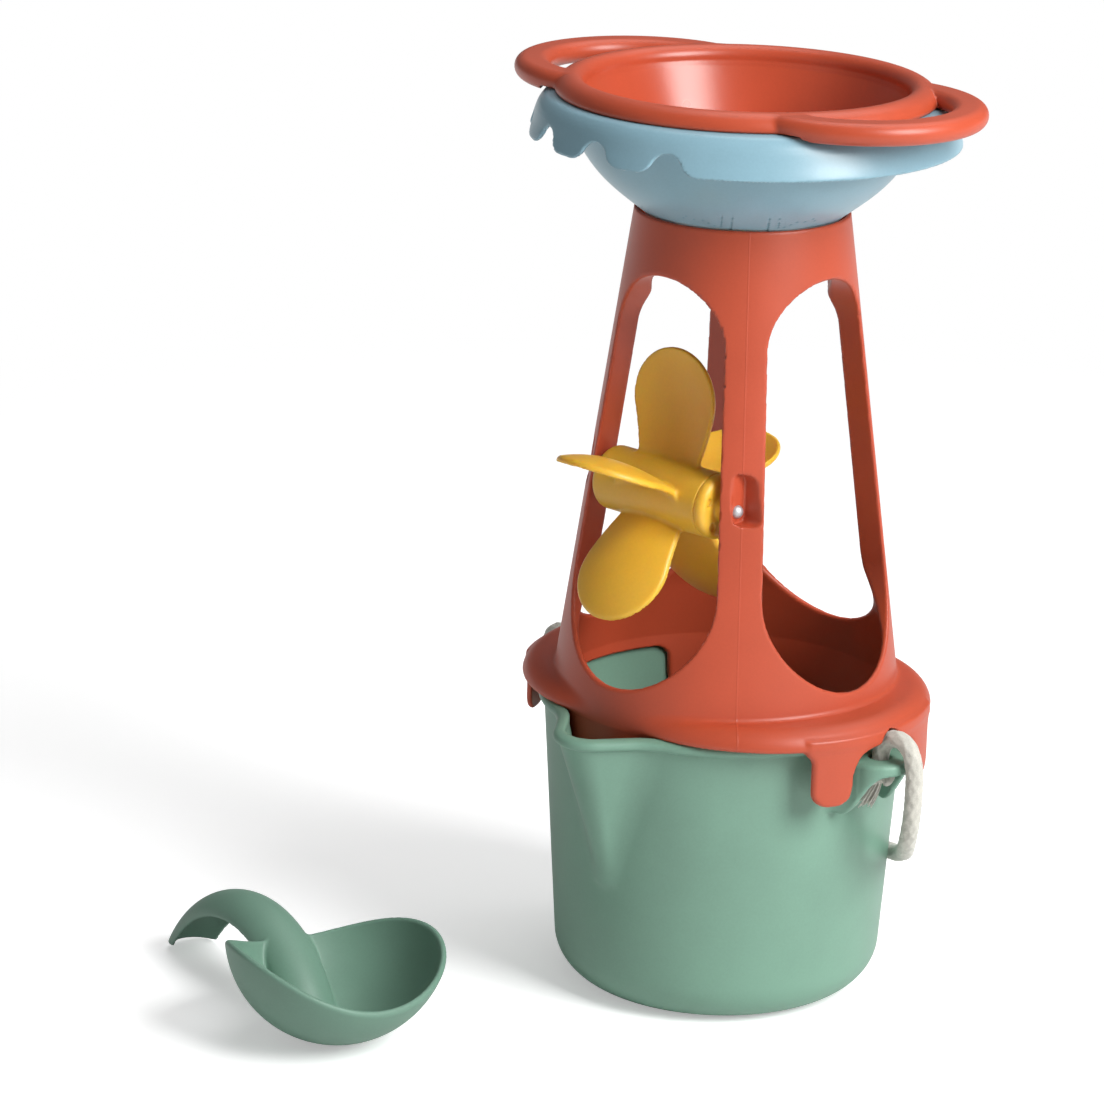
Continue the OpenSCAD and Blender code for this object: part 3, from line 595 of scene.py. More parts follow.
def net(field, xs, ys, zs):
    """Surface net of a field on a grid: points on its zero surface, quads and normals."""
    shape = (len(xs), len(ys), len(zs))
    f = np.empty(shape)
    for i in range(0, shape[0], SLAB):
        f[i:i + SLAB] = field(xs[i:i + SLAB, None, None], ys[None, :, None], zs[None, None, :])
    inside = f < 0
    count = sum(inside[i:shape[0] - 1 + i, j:shape[1] - 1 + j, k:shape[2] - 1 + k].astype(np.int8)
                for i in (0, 1) for j in (0, 1) for k in (0, 1))
    cells = np.argwhere((count > 0) & (count < 8))
    ids = np.full([n - 1 for n in shape], -1)
    ids[tuple(cells.T)] = np.arange(len(cells))
    rulers, total, hits = (xs, ys, zs), np.zeros((len(cells), 3)), np.zeros(len(cells))
    for axis in range(3):
        others = [a for a in range(3) if a != axis]
        for s in (0, 1):
            for t in (0, 1):
                a = cells.copy()
                a[:, others[0]] += s
                a[:, others[1]] += t
                b = a.copy()
                b[:, axis] += 1
                fa, fb = f[tuple(a.T)], f[tuple(b.T)]
                cut = (fa < 0) != (fb < 0)
                share = np.where(cut, fa / np.where(cut, fa - fb, 1), 0)
                for d in range(3):
                    low, high = rulers[d][a[:, d]], rulers[d][b[:, d]]
                    total[cut, d] += (low + (high - low) * share)[cut]
                hits += cut
    quads = []
    for axis in range(3):
        first = np.moveaxis(inside, axis, 0)
        e = np.argwhere(first[:-1, 1:-1, 1:-1] != first[1:, 1:-1, 1:-1])
        e[:, 1:] += 1
        out = first[e[:, 0], e[:, 1], e[:, 2]]
        cell = np.moveaxis(ids, axis, 0)
        ring = [cell[e[:, 0], e[:, 1] + a, e[:, 2] + b] for a, b in ((-1, -1), (0, -1), (0, 0), (-1, 0))]
        q = np.stack(ring, 1)
        q[out == (axis == 1)] = q[out == (axis == 1)][:, ::-1]
        quads.append(q)
    quads = np.concatenate(quads)
    points = evened(field, settle(field, total / hits[:, None]), quads)
    g, size = slope(field, points, NORMAL_PROBE)
    return points, quads, g / size[:, None]


def mesh_piece(name, points, faces, slot, body, node, normals=None):
    """A smooth mesh piece from points in millimetres, riding on a body in place of its CAD node."""
    mesh = bpy.data.meshes.new(name)
    mesh.from_pydata((np.asarray(points) * MM).tolist(), [], faces)
    mesh.polygons.foreach_set("use_smooth", [True] * len(mesh.polygons))
    if normals is not None:
        mesh.normals_split_custom_set_from_vertices(normals.tolist())
    mesh.materials.append(FINISH[slot])
    piece = bpy.data.objects.new(name, mesh)
    bpy.context.scene.collection.objects.link(piece)
    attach(piece, body)
    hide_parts(node)
    return piece


def moulding(name, field, grid, slot, body, node):
    points, quads, normals = net(field, *grid)
    return mesh_piece(name, points, quads.tolist(), slot, body, node, normals)


# Rope handle: the free cord, with its braid in relief, its knots and frayed ends

START_SIDE = (0.3, 0.9, 0.2)
ROUTE_STEPS = 24
ROPE_SIDES = 36
ROPE_STEP = 0.7
STRANDS = 6
BRAID_PITCH = 7.2
BRAID_DEPTH = 0.5
BRAID_DIP = 0.3
TAPER_LEAST_SHARE = 0.02
FIBRES = 2200
FIBRE_SEED = 5
FIBRE_RINGS = 3
FIBRE_SIDES = 3
FIBRE_L = 1.6
FIBRE_L_SHARES = (0.5, 1)
FIBRE_R = 0.05
FIBRE_SINK = 0.35
FIBRE_TILT = 1.2
FIBRE_STRAY = 0.7
FIBRE_OUT = 0.45
FIBRE_DROOP = 0.5
KNOT_POINTS = 160
KNOT_START = 0.12 * math.pi
KNOT_SHAPE = (2, 1.25, 1.36)
KNOT_CORD_R = 2.55
KNOT_SIDES = 20
KNOT_STEP = 0.6
KNOT_TAPER = 1.5
TUFT_STRANDS = 90
TUFT_RINGS = 8
TUFT_SIDES = 5
TUFT_START = 1.5
TUFT_WIDTH = (1.9, 2.3)
TUFT_R = (0.34, 0.12)
TUFT_L_SHARES = (0.55, 0.98)
TUFT_WAVE = 0.5
TUFT_WAVE_TURNS = (3, 7)


def directions(path):
    along = np.gradient(path, axis=0)
    return along / np.linalg.norm(along, axis=1)[:, None]


def carried(path):
    """Two crossways directions along a path, without twist."""
    along = directions(path)
    side = np.cross(along[0], START_SIDE)
    sides = []
    for t in along:
        side = side - t * np.dot(side, t)
        side = side / np.linalg.norm(side)
        sides.append(side)
    sides = np.array(sides)
    return sides, np.cross(along, sides)


def even(path, step):
    """The path in points a step apart, and how far along they lie."""
    run = np.concatenate([[0], np.cumsum(np.linalg.norm(np.diff(path, axis=0), axis=1))])
    at = np.linspace(0, run[-1], max(3, round(run[-1] / step)))
    return np.stack([np.interp(at, run, path[:, d]) for d in range(3)], 1), at


def angles(around):
    return np.linspace(0, 2 * math.pi, around, endpoint=False)


def tube_points(path, radius, around):
    """Rings of points about a path; radius is one value, or one per ring, or one per point."""
    sides, ups = carried(path)
    phi = angles(around)[None, :, None]
    ways = np.cos(phi) * sides[:, None, :] + np.sin(phi) * ups[:, None, :]
    return (path[:, None, :] + np.asarray(radius)[..., None] * ways).reshape(-1, 3)


def tube_faces(rings, around):
    faces = [(i * around + k, i * around + (k + 1) % around, (i + 1) * around + (k + 1) % around,
              (i + 1) * around + k) for i in range(rings - 1) for k in range(around)]
    faces.append(tuple(range(around - 1, -1, -1)))
    faces.append(tuple((rings - 1) * around + k for k in range(around)))
    return faces


def braided(path, radius, around, step, taper=0):
    """A tube along path with two crossing sets of strands in relief."""
    path, run = even(path, step)
    phi = angles(around)[None, :]
    u = (2 * math.pi * run / BRAID_PITCH)[:, None]
    left, right = np.cos((STRANDS * phi + u) / 2) ** 2, np.cos((STRANDS * phi - u) / 2) ** 2
    over = 0.5 + 0.5 * np.cos(u)
    relief = np.maximum(left * (1 - BRAID_DIP + BRAID_DIP * over), right * (1 - BRAID_DIP * over))
    r = radius - BRAID_DEPTH * (1 - relief)
    if taper:
        ends = np.minimum(run, run[-1] - run)[:, None] / taper
        r = r * np.sqrt(np.clip(1 - (1 - np.clip(ends, 0, 1)) ** 2, TAPER_LEAST_SHARE, 1))
    return tube_points(path, r, around), tube_faces(len(path), around), path


def joined(tubes, faces, rings, around):
    """One mesh of a first set of points with its faces, and the tubes that follow it."""
    total = len(tubes[0])
    for _ in tubes[1:]:
        faces.extend(tuple(total + k for k in face) for face in tube_faces(rings, around))
        total += rings * around
    return np.concatenate(tubes), faces


def fibres(points, faces, path):
    """Short loose fibres standing off the rope, added to its mesh."""
    rng = np.random.default_rng(FIBRE_SEED)
    along = directions(path)
    sides, ups = carried(path)
    s = np.linspace(0, 1, FIBRE_RINGS)[:, None]
    tubes = [points]
    for i in rng.integers(2, len(path) - 2, FIBRES):
        turn, tilt = rng.uniform(0, 2 * math.pi), rng.uniform(-FIBRE_TILT, FIBRE_TILT)
        out = math.cos(turn) * sides[i] + math.sin(turn) * ups[i]
        across = math.cos(turn) * ups[i] - math.sin(turn) * sides[i]
        stray = rng.uniform(-FIBRE_STRAY, FIBRE_STRAY)
        way = along[i] * math.sin(tilt) + across * stray + out * FIBRE_OUT
        start = path[i] + out * (ROPE_D / 2 - FIBRE_SINK)
        line = start + way * FIBRE_L * rng.uniform(*FIBRE_L_SHARES) * s - out * FIBRE_DROOP * s * s
        tubes.append(tube_points(line, FIBRE_R, FIBRE_SIDES))
    return joined(tubes, faces, FIBRE_RINGS, FIBRE_SIDES)


def rope():
    route = smooth_run(ROPE_ROUTE, ROUTE_STEPS)
    points, faces, path = braided(route, ROPE_D / 2, ROPE_SIDES, ROPE_STEP)
    points, faces = fibres(points, faces, path)
    return mesh_piece("rope_handle_braid", points, faces, "rope", "bucket", "rope_handle"), path


def knot(side, name, node, seed):
    """Overhand knot drawn tight under an ear, with a frayed end."""
    rng = np.random.default_rng(seed)
    t = np.linspace(KNOT_START, KNOT_START + 2 * math.pi, KNOT_POINTS)
    lobes, high, scale = KNOT_SHAPE
    loop = np.stack(
        [np.sin(t) + lobes * np.sin(2 * t), np.cos(t) - lobes * np.cos(2 * t), -high * np.sin(3 * t)], 1)
    points, faces, _ = braided(loop * scale, KNOT_CORD_R, KNOT_SIDES, KNOT_STEP, taper=KNOT_TAPER)
    points = points * (KNOT_R / np.max(np.linalg.norm(points, axis=1)))
    middle = np.array((ROPE_HOLE_X, 0, KNOT_Z))
    lean = math.radians(TAIL_LEAN)
    down = np.array((-math.sin(lean), 0, -math.cos(lean)))
    out, across = np.array((math.cos(lean), 0, -math.sin(lean))), np.array((0.0, 1.0, 0.0))
    s = np.linspace(0, 1, TUFT_RINGS)[:, None]
    width = TUFT_WIDTH[0] + TUFT_WIDTH[1] * s
    tubes = [points + middle]
    for _ in range(TUFT_STRANDS):
        turn, at = rng.uniform(0, 2 * math.pi), math.sqrt(rng.uniform(0, 1))
        side_way = math.cos(turn) * out + math.sin(turn) * across
        length = KNOT_R - TUFT_START + TAIL_L * rng.uniform(*TUFT_L_SHARES)
        wave = rng.uniform(-TUFT_WAVE, TUFT_WAVE, 3) * np.sin(rng.uniform(*TUFT_WAVE_TURNS) * s)
        line = middle + down * (TUFT_START + length * s) + side_way * at * width + wave * s
        line[:, 1] -= TAIL_SWAY * s[:, 0] ** 2
        tubes.append(tube_points(line, TUFT_R[0] - TUFT_R[1] * s, TUFT_SIDES))
    points, faces = joined(tubes, faces, TUFT_RINGS, TUFT_SIDES)
    points = points * (side, 1, 1)
    if side < 0:
        faces = [tuple(reversed(face)) for face in faces]
    return mesh_piece(name, points, faces, "rope", "bucket", node)


ROPE, ROPE_PATH = rope()
KNOTS = [
    knot(1, "rope_knot_tied_right", "rope_knot_right", 3),
    knot(-1, "rope_knot_tied_left", "rope_knot_left", 8)]


# Bucket with its spout, rolled rim and hooded ears

BUCKET_GRID = (
    ruler(-107, 1.35, 107), ruler(-104, 1.3, 84), ruler(-1.5, 1.3, 20, 2.4, 94, 1.3, 124, 0.85, 133.5))
WALL_LEAN = 0.998
SPOUT_LEAN = 0.94
SPOUT_LEAST_X = 1e-4
SPOUT_FILLET = 5
LIP_FILLET = 1.2
EAR_ROOT_SLANT = 11.66
EAR_ROOT_FILLET = 5
EAR_PLAN_FILLET = 1
EAR_TOP_ROUND = 2.4
EAR_INSIDE_ROUND = 1.5
EAR_RIM_ROUND = 0.9
EAR_EDGE_ROUND = 1.2
EAR_BACK_ROUND = 0.5
EAR_FILLET = 1.6
BUCKET_ROUND = 1.1


def spout(x, y, t):
    """Spout outline at a share t of its height."""
    return two_discs(
        np.abs(x), -y,
        0, SPOUT_FOOT_Y + (SPOUT_TIP_Y - SPOUT_FOOT_Y) * t, SPOUT_FLANK_R + (SPOUT_TIP_R - SPOUT_FLANK_R) * t,
        SPOUT_FLANK_X * t + SPOUT_LEAST_X, SPOUT_FOOT_Y + (SPOUT_FLANK_Y - SPOUT_FOOT_Y) * t, SPOUT_FLANK_R)


def ear(x, y, z):
    """Both hooded ears, with the rope's holes."""
    ax, ay = np.abs(x), np.abs(y)
    root = (ax - EAR_ROOT_X) * (EAR_ROOT - EAR_HALF) + (ay - EAR_ROOT) * (EAR_NECK_X - EAR_ROOT_X)
    sides = smin(ay - EAR_HALF, root / EAR_ROOT_SLANT, EAR_ROOT_FILLET)
    sides = smax(sides, ax - EAR_MID_X, EAR_PLAN_FILLET)
    plan = smin(np.hypot(ax - EAR_MID_X, y) - EAR_HALF, sides, EAR_PLAN_FILLET)
    hollow = smax(plan + EAR_WALL, z - EAR_TOP + EAR_T, EAR_INSIDE_ROUND)
    hood = smax(smax(plan, z - EAR_TOP, EAR_TOP_ROUND), -hollow, EAR_RIM_ROUND)
    u = math.pi * np.clip((ax - EAR_EDGE_X) / EAR_EDGE_RUN, 0, 1)
    steep = math.pi / 2 * EAR_RISE / EAR_EDGE_RUN * np.sin(u)
    below = (EAR_LOW + EAR_RISE * (1 - np.cos(u)) / 2 - z) / np.hypot(1, steep)
    hood = smax(hood, below, EAR_EDGE_ROUND)
    hood = smax(hood, ROPE_HOLE_R - np.hypot(ax - ROPE_HOLE_X, y), EAR_EDGE_ROUND)
    return smax(hood, EAR_ROOT_X - ax, EAR_BACK_ROUND)


def bucket(x, y, z):
    r = np.hypot(x, y)
    widening = (BUCKET_RIM_R - BUCKET_LOW_R) * (z - BUCKET_EDGE) / (BUCKET_H - BUCKET_EDGE)
    pail = corner((r - BUCKET_LOW_R - widening) * WALL_LEAN, -z, BUCKET_EDGE)
    t = (z - SPOUT_FOOT_Z) / (BUCKET_H - LIP_H - SPOUT_FOOT_Z)
    nose = spout(x, y, np.clip(t, 0, 1)) * SPOUT_LEAN + np.maximum(SPOUT_FOOT_Z - z, 0)
    outer = smin(pail, nose, SPOUT_FILLET)
    inner = smin(pail + BUCKET_WALL, nose + BUCKET_WALL, SPOUT_FILLET)
    plan = smin(r - BUCKET_RIM_R, spout(x, y, 1), SPOUT_FILLET)
    roll = LIP_H / 2
    lip = np.hypot(np.maximum(plan - LIP + roll, 0), z - BUCKET_H + roll) - roll
    body = smin(smax(outer, z - BUCKET_H, LIP_FILLET), lip, LIP_FILLET)
    return smax(smin(body, ear(x, y, z), EAR_FILLET), -inner, BUCKET_ROUND)


moulding("bucket_shell", bucket, BUCKET_GRID, "bucket", "bucket", "bucket")


# Mill tower: cone, posts, windows, brim, drips and pockets

TOWER_GRID = (
    ruler(-96.5, 1.25, 96.5), ruler(-79, 1.2, 79), ruler(94.5, 1.2, 150, 1.5, 305, 1.6, 338, 0.9, 348))
INSIDE_POINTS = 521
INSIDE_RUN = 25
INSIDE_STEPS = np.linspace(INSIDE_H[0], INSIDE_H[-1], INSIDE_POINTS)
INSIDE_SOFT = softened(np.interp(INSIDE_STEPS, INSIDE_H, INSIDE_T), INSIDE_RUN)
CONE_LEAN = 0.99
CONE_ROUND = 1.0
BRIM_ROUND = 2.4
BRIM_FILLET = 2.2
DRIP_HEAD = 8
BAND_MID = 3
BAND_HALF = 4.2
BAND_SIDE = 2
BAND_R = 1
BAND_FILLET = 5
ARCH_TOP = 4
ARCH_ROUND = 1.5
CURTAIN_TOP = 5
CURTAIN_END_ROUND = 1
CURTAIN_ROUND = 1.4
CURTAIN_FILLET = 1.5
INSIDE_ROUND = 1.1
WINDOW_ROUND = 1.8
PORT_ROUND = 1.0
PORT_PAST = 1
NOTCH_DOWN = 1
POCKET_FLOOR_ROUND = 1.0
POCKET_EDGE_ROUND = 0.9


def hanging_curtain(y, h, rd):
    """Drips and arches that hang from the brim."""
    ay = np.abs(y)
    drip = plate(ay - DRIP_MID, h + (DRIP_L - DRIP_HEAD) / 2, DRIP_HALF, (DRIP_L + DRIP_HEAD) / 2, DRIP_END)
    band = plate(y, h - BAND_MID, DRIP_MID + DRIP_HALF + BAND_SIDE, BAND_HALF, BAND_R)
    arch = smax(
        np.maximum(ay - DRIP_MID, h - ARCH_TOP), SCALLOP_R - np.hypot(y, h + SCALLOP_LOW), ARCH_ROUND)
    arch = smax(arch, -SCALLOP_LOW - h, CURTAIN_END_ROUND)
    outline = smin(smin(drip, arch, CURTAIN_FILLET), band, BAND_FILLET)
    outline = smax(outline, h - CURTAIN_TOP, CURTAIN_END_ROUND)
    return smax(np.abs(rd - BRIM_R + DRIP_T / 2) - DRIP_T / 2, outline, CURTAIN_ROUND)


def pocket(x, y, h):
    """Slot in a post's face that holds the pin's end."""
    top = POCKET_TOP - POCKET_HALF
    yp = np.abs(y - AXLE_Y)
    outline = np.where(
        h > top, np.hypot(yp, h - top) - POCKET_HALF,
        plate(yp, h - (POCKET_LOW + POCKET_TOP) / 2, POCKET_HALF, (POCKET_TOP - POCKET_LOW) / 2, POCKET_R))
    return smax(outline, POCKET_FLOOR - np.abs(x), POCKET_FLOOR_ROUND)


def tower(x, y, z):
    h = z - BUCKET_H
    r, ax = np.hypot(x, y), np.abs(x)
    out_r = np.where(
        h > 0, FOOT_R + (TOP_R - FOOT_R) * h / TOWER_H, FOOT_R + (FOOT_R - SKIRT_LOW_R) * h / SKIRT_H)
    inner = out_r - np.interp(h, INSIDE_STEPS, INSIDE_SOFT) - r
    cone = smax((r - out_r) * CONE_LEAN, np.maximum(h - TOWER_H, -SKIRT_H - h), CONE_ROUND)
    rd = np.hypot(ax - BRIM_SHIFT, y)
    brim = smax(np.hypot(np.maximum(rd - BRIM_R + BRIM_H, 0), h) - BRIM_H, -h, BRIM_ROUND)
    solid = smin(smin(cone, brim, BRIM_FILLET), hanging_curtain(y, h, rd), CURTAIN_FILLET)
    solid = smax(solid, inner, INSIDE_ROUND)
    for across in (x, y):
        window = two_discs(across, h, 0, WINDOW_LOW, WINDOW_LOW_R, 0, WINDOW_TOP, WINDOW_TOP_R)
        solid = smax(solid, -window, WINDOW_ROUND)
    port = plate(y, h - PORT_MID, PORT_HALF_W, PORT_HALF_H, PORT_R)
    solid = smax(solid, -np.maximum(port, ax - FOOT_R - PORT_PAST), PORT_ROUND)
    solid = smax(solid, -np.maximum(np.hypot(y, h + NOTCH_DOWN) - NOTCH_R, NOTCH_X - ax), PORT_ROUND)
    return smax(solid, -pocket(x, y, h), POCKET_EDGE_ROUND)


moulding("tower_shell", tower, TOWER_GRID, "tower", "tower", "mill_tower")


# Axle pin: turned steel with round ends that stand in the pockets

AXLE_SIDES = 48
AXLE_END_RINGS = 10
AXLE_END_TURN = math.pi / 2 - 0.02


def axle():
    lift = np.linspace(0, AXLE_END_TURN, AXLE_END_RINGS)
    end_x, end_r = AXLE_HALF - AXLE_R + AXLE_R * np.sin(lift), AXLE_R * np.cos(lift)
    xs = np.concatenate([-end_x[::-1], end_x])[:, None]
    rs = np.concatenate([end_r[::-1], end_r])[:, None]
    phi = angles(AXLE_SIDES)[None, :]
    points = np.stack([xs + 0 * phi, AXLE_Y + rs * np.cos(phi), AXLE_Z + rs * np.sin(phi)], 2)
    faces = tube_faces(len(xs), AXLE_SIDES)
    mesh_piece("axle_pin_turned", points.reshape(-1, 3), faces, "axle", "tower", "axle_pin")


axle()


# Sand wheel: hub with five cupped paddles

WHEEL_GRID = (
    ruler(-37, 0.7, -30, 1.1, 26, 0.3, 29, 0.6, 37), ruler(-107, 1.05, 23), ruler(164, 1.05, 294))
BOSS_EDGE = 0.8
BOSS_FILLET = 1.2
PADDLE_ROUND = 1.5
PADDLE_FOOT_ROUND = 1
PADDLE_FILLET = 2.2
MARK_FLOOR_ROUND = 0.5
MARK_ROUND = 0.6
GROOVE_ROUND = 0.3
BORE_ROUND = 0.4


def wheel(x, y, z):
    a, b = AXLE_Y - y, z - AXLE_Z
    rho = np.hypot(a, b)
    hub = corner(rho - HUB_R, np.abs(x) - HUB_HALF, HUB_EDGE)
    solid = smin(hub, corner(rho - BOSS_R, np.abs(x) - BOSS_HALF, BOSS_EDGE), BOSS_FILLET)
    for i in range(PADDLES):
        turn = math.radians(PADDLE_TURN + 360 * i / PADDLES)
        s, t = turned(a, b, turn)
        petal = two_discs(x, s, 0, 0, PADDLE_ROOT_R, 0, PADDLE_MID, PADDLE_R)
        off = s - PADDLE_MID
        dish = np.sqrt(x * x + off * off + (t - PADDLE_CUP + PADDLE_BEND) ** 2)
        swept = np.hypot(off, t - PADDLE_CUP + PADDLE_SWEEP) - PADDLE_SWEEP + PADDLE_BEND
        sheet = np.abs(np.where(off > 0, dish, np.hypot(swept, x)) - PADDLE_BEND) - PADDLE_T / 2
        paddle = smax(smax(sheet, petal, PADDLE_ROUND), -s, PADDLE_FOOT_ROUND)
        solid = smin(solid, paddle, PADDLE_FILLET)
        mark = np.hypot(rho - MARK_AT, MARK_AT * np.sin((np.arctan2(b, a) - turn) / 2) * 2) - MARK_R
        solid = smax(solid, -smax(mark, HUB_HALF - MARK_D - x, MARK_FLOOR_ROUND), MARK_ROUND)
    groove = np.maximum(np.abs(x - GROOVE_X) - GROOVE_HALF, HUB_R - GROOVE_D - rho)
    solid = smax(solid, -groove, GROOVE_ROUND)
    return smax(solid, BORE_R - rho, BORE_ROUND)


moulding("wheel_body", wheel, WHEEL_GRID, "wheel", "wheel", "sand_wheel")


# Funnel: bowl, flat rim and flared skirt with wavy notches

FUNNEL_GRID = (ruler(-94, 1.2, 94), ruler(-94, 1.2, 94), ruler(304, 1.3, 374, 1.0, 396))
FUNNEL_PAST = 60
FUNNEL_PAST_R = 3.6
FUNNEL_LINE_SPAN = (-45, 55)
FUNNEL_LINE_POINTS = 801
FUNNEL_LINE_RUN = 17
BOWL_POINTS = 200
BOWL_S = np.linspace(0, 1, BOWL_POINTS)
BOWL_RS = FUNNEL_SEAT + (FUNNEL_R - FUNNEL_SEAT) * BOWL_S
BOWL_ZS = FUNNEL_H * (BOWL_SHARES[0] * BOWL_S + BOWL_SHARES[1] * BOWL_S ** BOWL_POWER)
FUNNEL_ZS = np.concatenate([[-FUNNEL_PAST, -CONE_H], BOWL_ZS, [FUNNEL_PAST]])
FUNNEL_RS = np.concatenate([[OUTLET_R, OUTLET_R], BOWL_RS, [FUNNEL_R + FUNNEL_PAST_R]])
FUNNEL_LINE_Z = np.linspace(*FUNNEL_LINE_SPAN, FUNNEL_LINE_POINTS)
FUNNEL_LINE_R = softened(np.interp(FUNNEL_LINE_Z, FUNNEL_ZS, FUNNEL_RS), FUNNEL_LINE_RUN)
FUNNEL_LEAN = 1 / np.hypot(1, np.gradient(FUNNEL_LINE_R, FUNNEL_LINE_Z))
SKIRT_INNER_R = 70.0
SKIRT_PAST = (93, 25)
SKIRT_STEPS = 4
SKIRT_CURVE = smooth_run(
    [(FUNNEL_EDGE_R + FLARE * a, FUNNEL_H - SKIRT_DROP * b) for a, b in SKIRT_SHARES] + [SKIRT_PAST],
    SKIRT_STEPS)
SKIRT_LINE = [(SKIRT_INNER_R, FUNNEL_H)] + [tuple(p) for p in SKIRT_CURVE]
SKIRT_LAP = 2
SKIRT_LAP_ROUND = 1
SKIRT_EDGE_ROUND = 1.3
SKIRT_FILLET = 4.5
FUNNEL_RIM_ROUND = 0.9
FUNNEL_INSIDE_ROUND = 1.0


def notched_edge(x, y):
    """Height of the skirt's wavy edge and how steep it runs, round the funnel."""
    beta = np.degrees(np.arctan2(x, -y))
    edge, steep = FUNNEL_H - SKIRT_DROP, 0
    for i in range(NOTCHES):
        off = (beta - NOTCH_FIRST + i * NOTCH_PITCH + 180) % 360 - 180
        u = np.minimum(np.abs(np.radians(off)) * NOTCH_AT_R, NOTCH_HALF)
        at_head = u < NOTCH_HEAD
        across, radius = np.where(at_head, u, NOTCH_HALF - u), np.where(at_head, NOTCH_HEAD_R, NOTCH_FOOT_R)
        drop = np.sqrt(radius ** 2 - across ** 2)
        edge = edge + np.where(at_head, NOTCH_D - radius + drop, radius - drop)
        steep = steep + across / drop
    return edge, steep


def funnel(x, y, z):
    zf = z - FUNNEL_Z
    r = np.hypot(x, y)
    lean = np.interp(zf, FUNNEL_LINE_Z, FUNNEL_LEAN)
    outer = (r - np.interp(zf, FUNNEL_LINE_Z, FUNNEL_LINE_R)) * lean
    inner = outer + FUNNEL_WALL * lean
    skirt = np.abs(polyline(r, zf, SKIRT_LINE) + SKIRT_T / 2) - SKIRT_T / 2
    edge, steep = notched_edge(x, y)
    skirt = smax(skirt, (edge - zf) / np.hypot(1, steep), SKIRT_EDGE_ROUND)
    skirt = smax(skirt, FUNNEL_R - SKIRT_LAP - r, SKIRT_LAP_ROUND)
    solid = smin(outer, skirt, SKIRT_FILLET)
    solid = smax(solid, zf - FUNNEL_H, FUNNEL_RIM_ROUND)
    solid = smax(solid, -inner, FUNNEL_INSIDE_ROUND)
    return smax(solid, -CONE_H - OUTLET_L - zf, FUNNEL_RIM_ROUND)


moulding("funnel_body", funnel, FUNNEL_GRID, "funnel", "funnel", "funnel")


# Sieve: rolled rim, pan with holes, loop handles

SIEVE_GRID = (ruler(-114.5, 1.15, 114.5), ruler(-82.5, 1.1, 82.5), ruler(362, 1.1, 404))
RIM_ROUND = 1.6
PAN_ROUND = 5
PAN_TOP = 0.8
PAN_TOP_ROUND = 0.6
PAN_INSIDE_ROUND = 0.9
PAN_FILLET = 1.4
HANDLE_ROUND = 0.8
HANDLE_FILLET = 0.9
RELIEF_TOP = 0.3
HOLE_TOP = -20
HOLE_ROUND = 0.8
HOLE_FAR = 1e3
HOLE_SECTORS = 6


def hole_places():
    """A middle hole and rings of holes, each ring with one more hole in every sector."""
    places = [(0.0, 0.0)]
    for ring in range(1, HOLE_RINGS + 1):
        for i in range(HOLE_SECTORS * ring):
            turn = math.radians(360 / HOLE_SECTORS * i / ring)
            places.append((ring * HOLE_PITCH * math.cos(turn), ring * HOLE_PITCH * math.sin(turn)))
    return places


HOLES = hole_places()


def handles(x, y, zs, r):
    """Both loop handles, cut clear of the pan and of the funnel's rim."""
    ring = np.hypot(np.abs(x) - HANDLE_SHIFT, y) - HANDLE_R
    flat = (HANDLE_W - HANDLE_H) / 2
    bar = np.hypot(np.maximum(np.abs(ring) - flat, 0), zs - HANDLE_UP) - HANDLE_H / 2
    bar = smax(bar, HANDLE_IN - r, HANDLE_ROUND)
    return smax(bar, -smax(r - RELIEF_R, zs - RELIEF_TOP, HANDLE_ROUND), HANDLE_ROUND)


def sieve(x, y, z):
    x, y = turned(x, y, math.radians(SIEVE_TURN))
    zs = z - SIEVE_Z
    r = np.hypot(x, y)
    brow = np.hypot(np.maximum(r - SIEVE_IN - CREST_R, 0), np.maximum(zs - SIEVE_H + BROW, 0)) - BROW
    rim = smax(np.maximum(corner(SIEVE_IN - r, zs - SIEVE_H, CREST_R), brow), -zs, RIM_ROUND)
    lean = (SIEVE_IN - PAN_FLOOR_R) / (PAN_DEPTH - PAN_WALL + PAN_LIP)
    upright = 1 / math.hypot(1, lean)
    wall = (r - SIEVE_IN - (zs - PAN_LIP) * lean) * upright
    pan = smax(wall - PAN_WALL * upright, -PAN_DEPTH - zs, PAN_ROUND)
    hollow = smax(wall, PAN_WALL - PAN_DEPTH - zs, PAN_ROUND)
    pan = smax(smax(pan, zs - PAN_TOP, PAN_TOP_ROUND), -hollow, PAN_INSIDE_ROUND)
    solid = smin(smin(rim, pan, PAN_FILLET), handles(x, y, zs, r), HANDLE_FILLET)
    holes = np.full(np.shape(x), HOLE_FAR)
    for hx, hy in HOLES:
        holes = np.minimum(holes, np.hypot(x - hx, y - hy))
    return np.where(zs < HOLE_TOP, smax(solid, HOLE_R - holes, HOLE_ROUND), solid)


moulding("sieve_body", sieve, SIEVE_GRID, "sieve", "sieve", "sieve")


# Scoop: round bowl with a swept handle

SCOOP_GRID = (ruler(-194, 1.0, -9), ruler(-225, 1.0, -126), ruler(-1.5, 1.0, 53))
SCOOP_RIM_ROUND = 1.7
TONGUE_FLOOR_ROUND = 1.2
TONGUE_LEAN = 0.97
TONGUE_SIDE_ROUND = 1.4
TONGUE_TIP_ROUND = 1.2
TONGUE_CLIP_ROUND = 0.6
SCOOP_FILLET = 1.6


